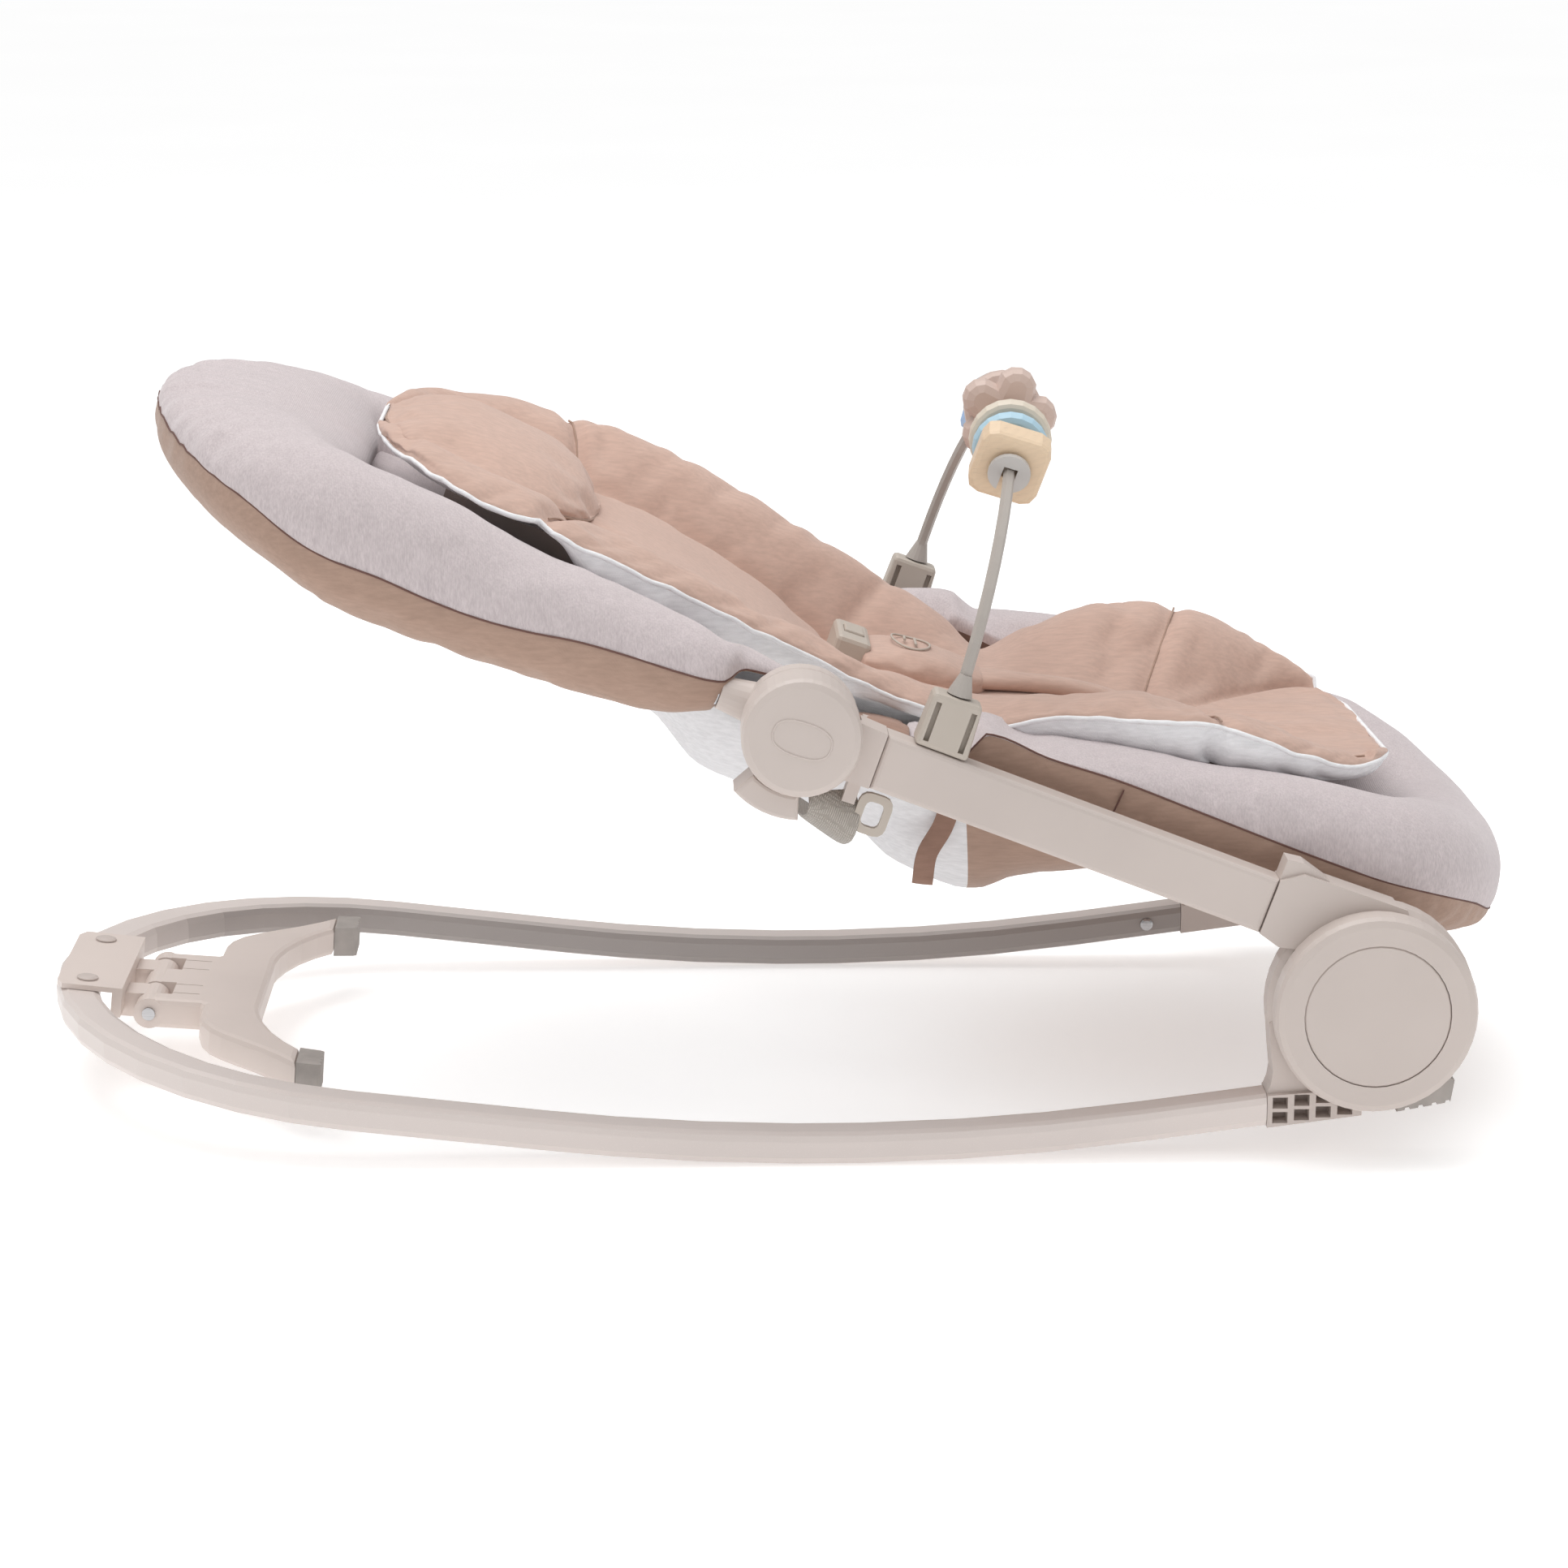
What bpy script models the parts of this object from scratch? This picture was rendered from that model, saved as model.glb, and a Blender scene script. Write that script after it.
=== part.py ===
"""Baby bouncer seat on a bent-tube rocker base.

Frame: metres, +Z up, +X towards the leg end, -Y is the seat's left-hand side, floor at Z = 0.
Most of the seat is modelled in the seat frame: u runs down the side rails towards the legs,
y across, n square to the rails, and its origin is the recline pivot.
"""
import math

import bmesh
import bpy
import numpy as np
from mathutils import Matrix, Vector

# ---------------------------------------------------------------- driving dimensions (metres)
GAP = 0.0003                      # clearance kept between touching pieces
SEAT_SLOPE = math.radians(19.4)   # the rails fall towards the legs by this
RECLINE_PIVOT = Vector((0.0068, 0.0, 0.2590))
FOLD_PIVOT = Vector((0.3351, 0.0, 0.0931))

# rocker tube
TUBE_W, TUBE_H, TUBE_R, TUBE_WALL = 0.025, 0.0194, 0.005, 0.002
TUBE_HALF = 0.197                 # centre line of the straight runs from the middle
ROCK_R, ROCK_X = 1.4065, 0.0238   # rocking radius and the place of its lowest point
ROCK_HEAD, ROCK_LEG = -0.1373, 0.2051   # the arc ends here and runs on as straight ramps
FACET = 0.020                     # half length of the flat that the rocker rests on
BEND_X, BEND_A = -0.2527, 0.1816  # start of the bend and its reach along X
TUBE_END_X = 0.2760

# hubs of the fold joint
HUB_R, HUB_IN, HUB_OUT = 0.060, 0.1865, 0.2059
DISC_R, DISC_IN, DISC_OUT = 0.0582, 0.2062, 0.2280
BUTTON_R, BUTTON_T, BUTTON_TRAVEL = 0.0419, 0.008, 0.005
RECESS_FLOOR = 0.212
AXLE_R = 0.008

# side rails and the recline hubs
RAIL_IN, RAIL_OUT = 0.187, 0.2086
RAIL_START, RAIL_STOP = 0.0475, 0.2875
RAIL_H, RAIL_TOP_HEAD, RAIL_TOP_LEG = 0.0330, 0.0132, 0.0055
RECLINE_R, CAP_IN, CAP_OUT = 0.034, 0.2000, 0.2328
BACK_HUB_IN, BACK_HUB_OUT = 0.1860, 0.1997

# kickstand
STAND_PIN = Vector((-0.3865, 0.0, 0.0450))
STAND_SLOPE = math.radians(4.4)
STAND_T = 0.019
PIN_R = 0.0025

# toy bar, in the seat frame
TOY_U, TOY_N, TOY_LEAN = 0.0790, 0.0420, math.radians(2.0)
ARCH_HALF, ARCH_FOOT, ARCH_H, ROD_R = 0.198, 0.0035, 0.139, 0.0035
PLUG_DEPTH = 0.024

COLOURS = {
    "frame_plastic": ((0.62, 0.55, 0.50), 0.45, 0.0),
    "tube_paint": ((0.60, 0.53, 0.49), 0.38, 0.25),
    "grey_plastic": ((0.50, 0.46, 0.42), 0.5, 0.0),
    "grey_rubber": ((0.38, 0.36, 0.34), 0.85, 0.0),
    "steel": ((0.55, 0.55, 0.56), 0.3, 1.0),
    "melange_jersey": ((0.62, 0.55, 0.55), 0.95, 0.0),
    "liner_fabric": ((0.58, 0.37, 0.28), 0.9, 0.0),
    "white_fabric": ((0.80, 0.80, 0.82), 0.95, 0.0),
    "brown_fabric": ((0.40, 0.25, 0.19), 0.9, 0.0),
    "webbing": ((0.42, 0.38, 0.33), 0.9, 0.0),
    "wood": ((0.72, 0.55, 0.38), 0.6, 0.0),
    "pale_blue": ((0.50, 0.65, 0.75), 0.4, 0.0),
    "mid_blue": ((0.25, 0.42, 0.72), 0.4, 0.0),
    "beige_plastic": ((0.70, 0.62, 0.52), 0.4, 0.0),
    "pink_plastic": ((0.66, 0.52, 0.45), 0.45, 0.0),
    "washer_grey": ((0.55, 0.53, 0.52), 0.5, 0.0),
}

for old in list(bpy.data.objects):
    bpy.data.objects.remove(old, do_unlink=True)


def collection(name):
    made = bpy.data.collections.new(name)
    bpy.context.scene.collection.children.link(made)
    return made


PARTS = collection("bouncer_seat")
CUTTERS = collection("cutters")
MATERIALS = {}
BODIES = {}

WORLD = Matrix.Identity(4)
SEAT = Matrix.Translation(RECLINE_PIVOT) @ Matrix.Rotation(SEAT_SLOPE, 4, "Y")
STAND = Matrix.Translation(STAND_PIN) @ Matrix.Rotation(STAND_SLOPE, 4, "Y")
TOY = SEAT @ Matrix.Translation((TOY_U, 0, TOY_N)) @ Matrix.Rotation(-TOY_LEAN, 4, "Y")
ALONG_Y = Matrix.Rotation(math.radians(90), 4, "X")      # local +Z becomes -Y
MIRROR_Y = Matrix.Diagonal((1, -1, 1, 1))


# ---------------------------------------------------------------- scene helpers
def material(key):
    if key not in MATERIALS:
        colour, rough, metal = COLOURS[key]
        made = bpy.data.materials.new(key)
        made.use_nodes = True
        shader = made.node_tree.nodes["Principled BSDF"]
        shader.inputs["Base Color"].default_value = (*colour, 1.0)
        shader.inputs["Roughness"].default_value = rough
        shader.inputs["Metallic"].default_value = metal
        MATERIALS[key] = made
    return MATERIALS[key]


def body(name, axis_point, parent=None):
    """An empty on a joint's axis, which the pieces of one moving body hang from."""
    empty = bpy.data.objects.new("body_" + name, None)
    PARTS.objects.link(empty)
    world = Matrix.Translation(axis_point)
    if parent:
        empty.parent = BODIES[parent][0]
        empty.matrix_basis = BODIES[parent][1].inverted() @ world
    else:
        empty.matrix_basis = world
    BODIES[name] = (empty, world)


def put(obj, body_name, world):
    empty, at = BODIES[body_name]
    obj.parent = empty
    obj.matrix_basis = at.inverted() @ world
    return obj


def piece(name, mesh, colour, body_name, world=WORLD, bevel=0.0, segments=2, smooth=35):
    mesh.materials.clear()
    mesh.materials.append(material(colour))
    mesh.shade_smooth()
    mesh.set_sharp_from_angle(angle=math.radians(smooth))
    obj = bpy.data.objects.new(name, mesh)
    PARTS.objects.link(obj)
    put(obj, body_name, world)
    if bevel:
        add_bevel(obj, bevel, segments)
    return obj


def add_bevel(obj, width, segments=2):
    made = obj.modifiers.new("rounded_edges", "BEVEL")
    made.width = width
    made.segments = segments
    made.limit_method = "ANGLE"
    made.angle_limit = math.radians(40)


def cutter(name, mesh, body_name, world=WORLD):
    obj = bpy.data.objects.new("cut_" + name, mesh)
    CUTTERS.objects.link(obj)
    put(obj, body_name, world)
    obj.hide_render = True
    obj.display_type = "WIRE"
    return obj


def boolean(obj, tool, operation):
    made = obj.modifiers.new(operation.lower(), "BOOLEAN")
    made.operation = operation
    made.object = tool
    made.solver = "EXACT"


def evaluated(obj):
    """The object's mesh with its modifiers applied, in its own coordinates."""
    bpy.context.view_layer.update()
    graph = bpy.context.evaluated_depsgraph_get()
    return bpy.data.meshes.new_from_object(obj.evaluated_get(graph))


def twin(obj, name, body_name):
    """The right-hand copy of a left-hand piece, mirrored across Y = 0."""
    mesh = evaluated(obj)
    mesh.transform(MIRROR_Y)
    mesh.flip_normals()
    world = MIRROR_Y @ obj.matrix_world @ MIRROR_Y
    return piece(name, mesh, obj.data.materials[0].name, body_name, world)


def both_sides(obj, stem, body_name):
    """Names the left piece and adds its right-hand twin."""
    obj.name = stem + "_left"
    return obj, twin(obj, stem + "_right", body_name)


# ---------------------------------------------------------------- mesh helpers
def finish(bm):
    bmesh.ops.remove_doubles(bm, verts=bm.verts, dist=1e-6)
    bmesh.ops.recalc_face_normals(bm, faces=bm.faces)
    mesh = bpy.data.meshes.new("mesh")
    bm.to_mesh(mesh)
    bm.free()
    return mesh


def box(low, high):
    bm = bmesh.new()
    low, high = Vector(low), Vector(high)
    bmesh.ops.create_cube(bm, size=1.0)
    for vert in bm.verts:
        vert.co = Vector([(l + h) / 2 + c * (h - l) for c, l, h in zip(vert.co, low, high)])
    return finish(bm)


def disc(centre, radius, y_from, y_to, sides=48, radius_to=None):
    """A cylinder or cone whose axis runs along Y between two stations."""
    bm = bmesh.new()
    bmesh.ops.create_cone(bm, cap_ends=True, segments=sides, radius1=radius,
                          radius2=radius if radius_to is None else radius_to,
                          depth=abs(y_to - y_from))
    turn = Matrix.Rotation(math.radians(-90 if y_to > y_from else 90), 4, "X")
    middle = Vector((centre[0], (y_from + y_to) / 2, centre[-1]))
    bmesh.ops.transform(bm, matrix=Matrix.Translation(middle) @ turn, verts=bm.verts)
    return finish(bm)


def plate(outline, thickness, bevel=0.0, resolution=2):
    """A flat outline in XY, extruded evenly about Z = 0 with an optional rounded rim."""
    data = bpy.data.curves.new("outline", "CURVE")
    data.dimensions = "2D"
    data.fill_mode = "BOTH"
    data.extrude = thickness / 2 - bevel
    data.bevel_depth = bevel
    data.bevel_resolution = resolution
    data.offset = -bevel
    loops = outline if isinstance(outline[0][0], tuple) else [outline]
    for loop in loops:
        spline = data.splines.new("POLY")
        spline.points.add(len(loop) - 1)
        for point, (x, y) in zip(spline.points, loop):
            point.co = (x, y, 0, 1)
        spline.use_cyclic_u = True
    return curve_mesh(data)


def side_plate(outline_xz, y_low, y_high, bevel=0.0, resolution=2):
    """A flat outline in XZ, extruded between two Y stations."""
    mesh = plate([(x, z) for x, z in outline_xz], y_high - y_low, bevel, resolution)
    mesh.transform(Matrix.Translation((0, (y_low + y_high) / 2, 0)) @ ALONG_Y)
    return mesh


def curve_mesh(data):
    """A curve's mesh with its loose caps welded on."""
    obj = bpy.data.objects.new("curve", data)
    bpy.context.scene.collection.objects.link(obj)
    mesh = evaluated(obj)
    bpy.data.objects.remove(obj)
    bm = bmesh.new()
    bm.from_mesh(mesh)
    bmesh.ops.remove_doubles(bm, verts=bm.verts, dist=1e-5)
    return finish(bm)


def rod(points, radius, resolution=2, cyclic=False):
    data = bpy.data.curves.new("rod", "CURVE")
    data.dimensions = "3D"
    data.bevel_depth = radius
    data.bevel_resolution = resolution
    data.use_fill_caps = True
    spline = data.splines.new("POLY")
    spline.points.add(len(points) - 1)
    for point, place in zip(spline.points, points):
        point.co = (*place, 1)
    spline.use_cyclic_u = cyclic
    return curve_mesh(data)


def swept(points, section):
    """A closed section carried along a path with its Y kept upright, open at both ends."""
    profile = bpy.data.curves.new("section", "CURVE")
    profile.dimensions = "2D"
    loop = profile.splines.new("POLY")
    loop.points.add(len(section) - 1)
    for point, (x, y) in zip(loop.points, section):
        point.co = (x, y, 0, 1)
    loop.use_cyclic_u = True
    guide = bpy.data.objects.new("section", profile)
    data = bpy.data.curves.new("path", "CURVE")
    data.dimensions = "3D"
    data.twist_mode = "Z_UP"
    data.bevel_mode = "OBJECT"
    data.bevel_object = guide
    spline = data.splines.new("POLY")
    spline.points.add(len(points) - 1)
    for point, place in zip(spline.points, points):
        point.co = (*place, 1)
    mesh = curve_mesh(data)
    bpy.data.objects.remove(guide)
    return mesh


def turned(profile, sides=32):
    """A closed profile of (radius, height) pairs turned about Z."""
    mesh = bpy.data.meshes.new("profile")
    verts = [(r, 0, h) for r, h in profile]
    mesh.from_pydata(verts, [(i, i + 1) for i in range(len(verts) - 1)], [])
    obj = bpy.data.objects.new("turned", mesh)
    bpy.context.scene.collection.objects.link(obj)
    screw = obj.modifiers.new("turn", "SCREW")
    screw.steps = screw.render_steps = sides
    screw.use_merge_vertices = True
    screw.merge_threshold = 0.00001
    made = evaluated(obj)
    bpy.data.objects.remove(obj)
    bm = bmesh.new()
    bm.from_mesh(made)
    return finish(bm)


def loft(rings, caps=False):
    """Quads between matching closed rings, for a form whose section changes as it goes."""
    bm = bmesh.new()
    rows = [[bm.verts.new(place) for place in ring] for ring in rings]
    for near, far in zip(rows, rows[1:]):
        for i in range(len(near)):
            j = (i + 1) % len(near)
            bm.faces.new((near[i], near[j], far[j], far[i]))
    if caps:
        bm.faces.new(rows[0])
        bm.faces.new(rows[-1])
    return finish(bm)


def sheet(stations, across, place):
    """An open grid whose point (i, j) is place(station, fraction across from -1 to 1)."""
    bm = bmesh.new()
    bmesh.ops.create_grid(bm, x_segments=len(stations) - 1, y_segments=across, size=0.5)
    for vert in bm.verts:
        row = round((vert.co.x + 0.5) * (len(stations) - 1))
        vert.co = Vector(place(stations[row], vert.co.y * 2))
    return finish(bm)


def thicken(obj, thickness, offset=-1.0):
    made = obj.modifiers.new("thickness", "SOLIDIFY")
    made.thickness = thickness
    made.offset = offset
    made.use_even_offset = False


def rounded_rectangle(width, height, radius, steps=3):
    points = []
    for cx, cy, start in ((1, 1, 0), (-1, 1, 90), (-1, -1, 180), (1, -1, 270)):
        for k in range(steps + 1):
            a = math.radians(start + 90 * k / steps)
            points.append((cx * (width / 2 - radius) + radius * math.cos(a),
                           cy * (height / 2 - radius) + radius * math.sin(a)))
    return points


def ramp(value, table):
    """Straight-line reading of a short table of (position, value) pairs."""
    xs, ys = zip(*table)
    return float(np.interp(value, xs, ys))


# ---------------------------------------------------------------- rocker base
def rocker_low(x):
    """Height of the rocker tube's underside: an arc with a small flat, between two ramps."""
    if x < ROCK_HEAD:
        return rocker_low(ROCK_HEAD) + 0.1157 * (ROCK_HEAD - x)
    if x > ROCK_LEG:
        return rocker_low(ROCK_LEG) + 0.1300 * (x - ROCK_LEG)
    reach = max(abs(x - ROCK_X), FACET)
    return math.sqrt(ROCK_R ** 2 - FACET ** 2) - math.sqrt(ROCK_R ** 2 - reach ** 2)


def tube_path():
    """Plan of the bent tube's centre line, from the left end round to the right end."""
    side = [TUBE_END_X, ROCK_LEG, 0.15, 0.10, ROCK_X + FACET, ROCK_X - FACET, -0.05, -0.10,
            ROCK_HEAD, BEND_X]
    left = [(x, -TUBE_HALF, TUBE_H / 2) for x in side]
    steps = 18
    angles = [math.pi * k / steps for k in range(1, steps)]
    bend = [(BEND_X - BEND_A * math.sin(a), -TUBE_HALF * math.cos(a), TUBE_H / 2) for a in angles]
    right = [(x, -y, z) for x, y, z in reversed(left)]
    return left + bend + right


SCREW_X = 0.2530
SCREW_Z = rocker_low(SCREW_X) + TUBE_H / 2


def base_tube():
    mesh = swept(tube_path(), rounded_rectangle(TUBE_W, TUBE_H, TUBE_R, 2))
    for vert in mesh.vertices:
        vert.co.z += rocker_low(vert.co.x)
    obj = piece("base_tube", mesh, "tube_paint", "base")
    thicken(obj, TUBE_WALL)
    for side in (-1, 1):
        hole = disc((SCREW_X, SCREW_Z), 0.0023, side * 0.180, side * 0.190, 12)
        boolean(obj, cutter("tube_screw_%d" % side, hole, "base"), "DIFFERENCE")
    return obj


def base_hub():
    """Inner half of the fold joint: a drum, a neck and the ribbed plug in the tube's end."""
    drum = disc(FOLD_PIVOT, HUB_R, -HUB_IN, -HUB_OUT, 40)
    obj = piece("base_hub", drum, "frame_plastic", "base")
    add_bevel(obj, 0.003, 1)
    start, stop = TUBE_END_X + GAP, 0.331
    low_start, low_stop = rocker_low(start), rocker_low(stop)
    plug = side_plate([(start, low_start), (stop, low_stop), (stop, low_stop + 0.016),
                       (start, low_start + TUBE_H)], -TUBE_HALF - TUBE_W / 2,
                      -TUBE_HALF + TUBE_W / 2)
    spigot = side_plate([(0.240, rocker_low(0.240) + 0.0028), (start + 0.01, low_start + 0.0045),
                         (start + 0.01, low_start + TUBE_H - 0.0013),
                         (0.240, rocker_low(0.240) + TUBE_H - 0.0028)], -0.2055, -0.1885)
    neck = side_plate([(start, low_start + 0.005), (0.31, 0.035), (0.32, 0.06), (0.30, 0.100),
                       (0.2765, 0.083), (0.2780, 0.066), (0.2795, 0.053), (0.2785, 0.046),
                       (start, low_start + TUBE_H)], -HUB_OUT, -HUB_IN)
    for name, mesh in (("plug", plug), ("spigot", spigot), ("neck", neck)):
        boolean(obj, cutter("hub_" + name, mesh, "base"), "UNION")
    sweep = disc(FOLD_PIVOT, DISC_R + 0.0008, -HUB_OUT, -0.215, 48)
    boolean(obj, cutter("hub_sweep", sweep, "base"), "DIFFERENCE")
    bore = disc(FOLD_PIVOT, AXLE_R + GAP, -0.180, -0.215, 24)
    boolean(obj, cutter("hub_bore", bore, "base"), "DIFFERENCE")
    hole = disc((SCREW_X, SCREW_Z), 0.0023, -0.180, -0.199, 12)
    boolean(obj, cutter("hub_screw", hole, "base"), "DIFFERENCE")
    pitch, wide, tall = 0.0125, 0.0088, 0.0068
    for column in range(4):
        for row in range(2):
            x = start + 0.003 + column * pitch
            z = rocker_low(x + wide / 2) + 0.0018 + row * 0.0088
            pocket = box((x, -0.212, z), (x + wide, -0.198, z + tall))
            name = "pocket_%d_%d" % (column, row)
            boolean(obj, cutter(name, pocket, "base"), "DIFFERENCE")
    return both_sides(obj, "base_hub", "base")


def stud(name, colour, body_name, world, head_r, head_h, shank_r, shank, sides=14):
    """A domed head on a plain shank; local Z points out of the head."""
    dome = [(head_r, 0.0), (head_r, head_h * 0.45), (head_r * 0.72, head_h * 0.85),
            (0.0, head_h)]
    profile = [(0.0, -shank), (shank_r, -shank), (shank_r, 0.0)] + dome
    return piece(name, turned(profile[::-1], sides), colour, body_name, world)


def tube_screws():
    at = Matrix.Translation((SCREW_X, -TUBE_HALF + TUBE_W / 2 + GAP, SCREW_Z))
    obj = stud("tube_screw", "steel", "base", at @ Matrix.Rotation(math.radians(-90), 4, "X"),
               0.0042, 0.0024, 0.0019, 0.013)
    return both_sides(obj, "tube_screw", "base")


def rear_foot():
    """Rubber foot under the hub with a serrated sole; it lands when the stand is down."""
    sole_start, sole_stop = Vector((0.3505, 0.0312)), Vector((0.3815, 0.0368))
    run = sole_stop - sole_start
    points = []
    teeth = 4
    for k in range(teeth):
        a = sole_start + run * (k / teeth)
        points += [tuple(a), tuple(a + run * (0.6 / teeth))]
        lift = Vector((0, 0.0014))
        points += [tuple(a + run * (0.65 / teeth) + lift), tuple(a + run * (0.95 / teeth) + lift)]
    points += [tuple(sole_stop), (0.3835, 0.0500)]
    for k in range(7):
        a = math.radians(-43 - 5 * k)
        points.append((FOLD_PIVOT.x + (HUB_R + GAP) * math.cos(a),
                       FOLD_PIVOT.z + (HUB_R + GAP) * math.sin(a)))
    obj = piece("rear_foot", side_plate(points, -0.213, -0.1885), "grey_rubber", "base")
    return both_sides(obj, "rear_foot", "base")


def fold_axle():
    profile = [(0.0, 0.0), (AXLE_R, 0.0), (AXLE_R, 0.0248), (0.012, 0.0248), (0.012, 0.0278),
               (0.0, 0.0278)]
    at = Matrix.Translation((FOLD_PIVOT.x, -0.2110, FOLD_PIVOT.z))
    turn = Matrix.Rotation(math.radians(-90), 4, "X")
    obj = piece("fold_axle", turned(profile[::-1], 24), "steel", "base", at @ turn)
    return both_sides(obj, "fold_axle", "base")


# ---------------------------------------------------------------- bracket and kickstand
APEX_X = BEND_X - BEND_A
APEX = (Matrix.Translation((APEX_X, 0, rocker_low(APEX_X) + TUBE_H))
        @ Matrix.Rotation(math.atan(0.1157), 4, "Y"))


def bend_bracket():
    """Plate riveted over the bend, with a skirt down its inside and two knuckles."""
    half, front, back, thick = 0.055, -0.0075, 0.0330, 0.0032
    outline = [(front + 0.004, -half), (back, -half), (back, half), (front + 0.004, half),
               (front, half - 0.008), (front, -half + 0.008)]
    mesh = plate(outline, thick)
    mesh.transform(Matrix.Translation((0, 0, GAP + thick / 2)))
    obj = piece("bend_bracket", mesh, "frame_plastic", "base", APEX)
    skirt = box((0.0270, -half, -0.0150), (back, half, 0.002))
    boolean(obj, cutter("bracket_skirt", skirt, "base", APEX), "UNION")
    for side in (-1, 1):
        low, high = sorted((side * 0.0145, side * 0.0355))
        barrel = disc((0, 0), STAND_T / 2 - 0.0005, low, high, 24)
        boolean(obj, cutter("knuckle_%d" % side, barrel, "base", STAND), "UNION")
        web = box((-0.0200, low, -0.0070), (0.0, high, 0.0080))
        boolean(obj, cutter("web_%d" % side, web, "base", STAND), "UNION")
        hole = disc((0, 0), 0.0026, -0.004, 0.004, 14)
        hole.transform(Matrix.Translation((0.0100, side * 0.0407, 0)) @ ALONG_Y)
        boolean(obj, cutter("rivet_hole_%d" % side, hole, "base", APEX), "DIFFERENCE")
    bore = disc((0, 0), PIN_R + GAP, -0.06, 0.06, 16)
    boolean(obj, cutter("bracket_bore", bore, "base", STAND), "DIFFERENCE")
    return obj


def bracket_rivets():
    at = APEX @ Matrix.Translation((0.0100, -0.0407, 0.0032 + 2 * GAP))
    obj = stud("bracket_rivet", "frame_plastic", "base", at, 0.0065, 0.0018, 0.0022, 0.0030)
    return both_sides(obj, "bracket_rivet", "base")


def stand_half():
    """Right half of the stand's outline seen from above, from its neck to its foot."""
    neck = [(-0.0002, 0.0495), (0.031, 0.0495)]
    shoulder = [(0.0330, 0.0520), (0.0335, 0.0720), (0.0360, 0.0840), (0.0420, 0.0960),
                (0.0500, 0.1050), (0.0600, 0.1140), (0.0730, 0.1250), (0.0860, 0.1380),
                (0.0985, 0.1525)]
    inner = [(0.0985, 0.1245), (0.0890, 0.1120), (0.0800, 0.0960), (0.0730, 0.0780),
             (0.0690, 0.0620), (0.0675, 0.0500)]
    return neck, shoulder, inner


def kickstand():
    """Anchor-shaped stand on three hinge arms; the spring tongues are cut in its neck."""
    neck, shoulder, inner = stand_half()
    right = neck + shoulder + inner
    outline = right + [(x, -y) for x, y in reversed(right)]
    mesh = plate(outline, STAND_T, 0.0035, 1)
    obj = piece("kickstand", mesh, "frame_plastic", "kickstand", STAND)
    barrel = disc((0, 0), STAND_T / 2, -0.0495, 0.0495, 24)
    boolean(obj, cutter("stand_barrel", barrel, "kickstand", STAND), "UNION")
    for side in (-1, 1):
        low, high = sorted((side * 0.0135, side * 0.0370))
        gap = box((-0.0120, low, -0.0120), (0.0125, high, 0.0120))
        boolean(obj, cutter("stand_gap_%d" % side, gap, "kickstand", STAND), "DIFFERENCE")
        for edge in (-0.0088, 0.0088):
            y = side * 0.0253 + edge
            slit = box((0.0100, y - 0.0005, 0.0055), (0.0290, y + 0.0005, 0.0120))
            name = "slit_%d_%d" % (side, edge > 0)
            boolean(obj, cutter(name, slit, "kickstand", STAND), "DIFFERENCE")
    bore = disc((0, 0), PIN_R + GAP, -0.06, 0.06, 16)
    boolean(obj, cutter("stand_bore", bore, "kickstand", STAND), "DIFFERENCE")
    return obj


def kickstand_feet():
    """Rubber caps on the stand's two ends, ribbed across their soles."""
    points = [(0.0988, -0.1525), (0.1115, -0.1545)]
    ribs = 5
    for k in range(ribs):
        y = -0.1545 + 0.0270 * (k + 0.5) / ribs
        points += [(0.1135, y - 0.0018), (0.1135, y + 0.0012), (0.1122, y + 0.0020)]
    points += [(0.1115, -0.1275), (0.0988, -0.1245)]
    obj = piece("kickstand_foot", plate(points[::-1], STAND_T, 0.0), "grey_rubber",
                "kickstand", STAND)
    return both_sides(obj, "kickstand_foot", "kickstand")


def kickstand_pin():
    length, head = 0.0498, 0.0016
    profile = [(0.0, -length - head), (0.0040, -length - head), (0.0040, -length),
               (PIN_R, -length), (PIN_R, length), (0.0040, length), (0.0040, length + head),
               (0.0, length + head)]
    return piece("kickstand_pin", turned(profile[::-1], 16), "steel", "base", STAND @ ALONG_Y)


# ---------------------------------------------------------------- rails and hub housings
FOLD_IN_SEAT = SEAT.inverted() @ FOLD_PIVOT


def rail_top(u):
    """The rails fall a little towards the legs within the seat frame."""
    share = (u - RAIL_START) / (RAIL_STOP - RAIL_START)
    return RAIL_TOP_HEAD + (RAIL_TOP_LEG - RAIL_TOP_HEAD) * share


def rail_low(u):
    return rail_top(u) - RAIL_H


def side_rail():
    start, stop = RAIL_START + GAP, RAIL_STOP - GAP
    outline = [(start, rail_low(start)), (stop, rail_low(stop)), (stop, rail_top(stop)),
               (start, rail_top(start))]
    mesh = side_plate(outline, -RAIL_OUT, -RAIL_IN, 0.003, 2)
    obj = piece("side_rail", mesh, "frame_plastic", "seat_frame", SEAT)
    return both_sides(obj, "side_rail", "seat_frame")


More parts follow.
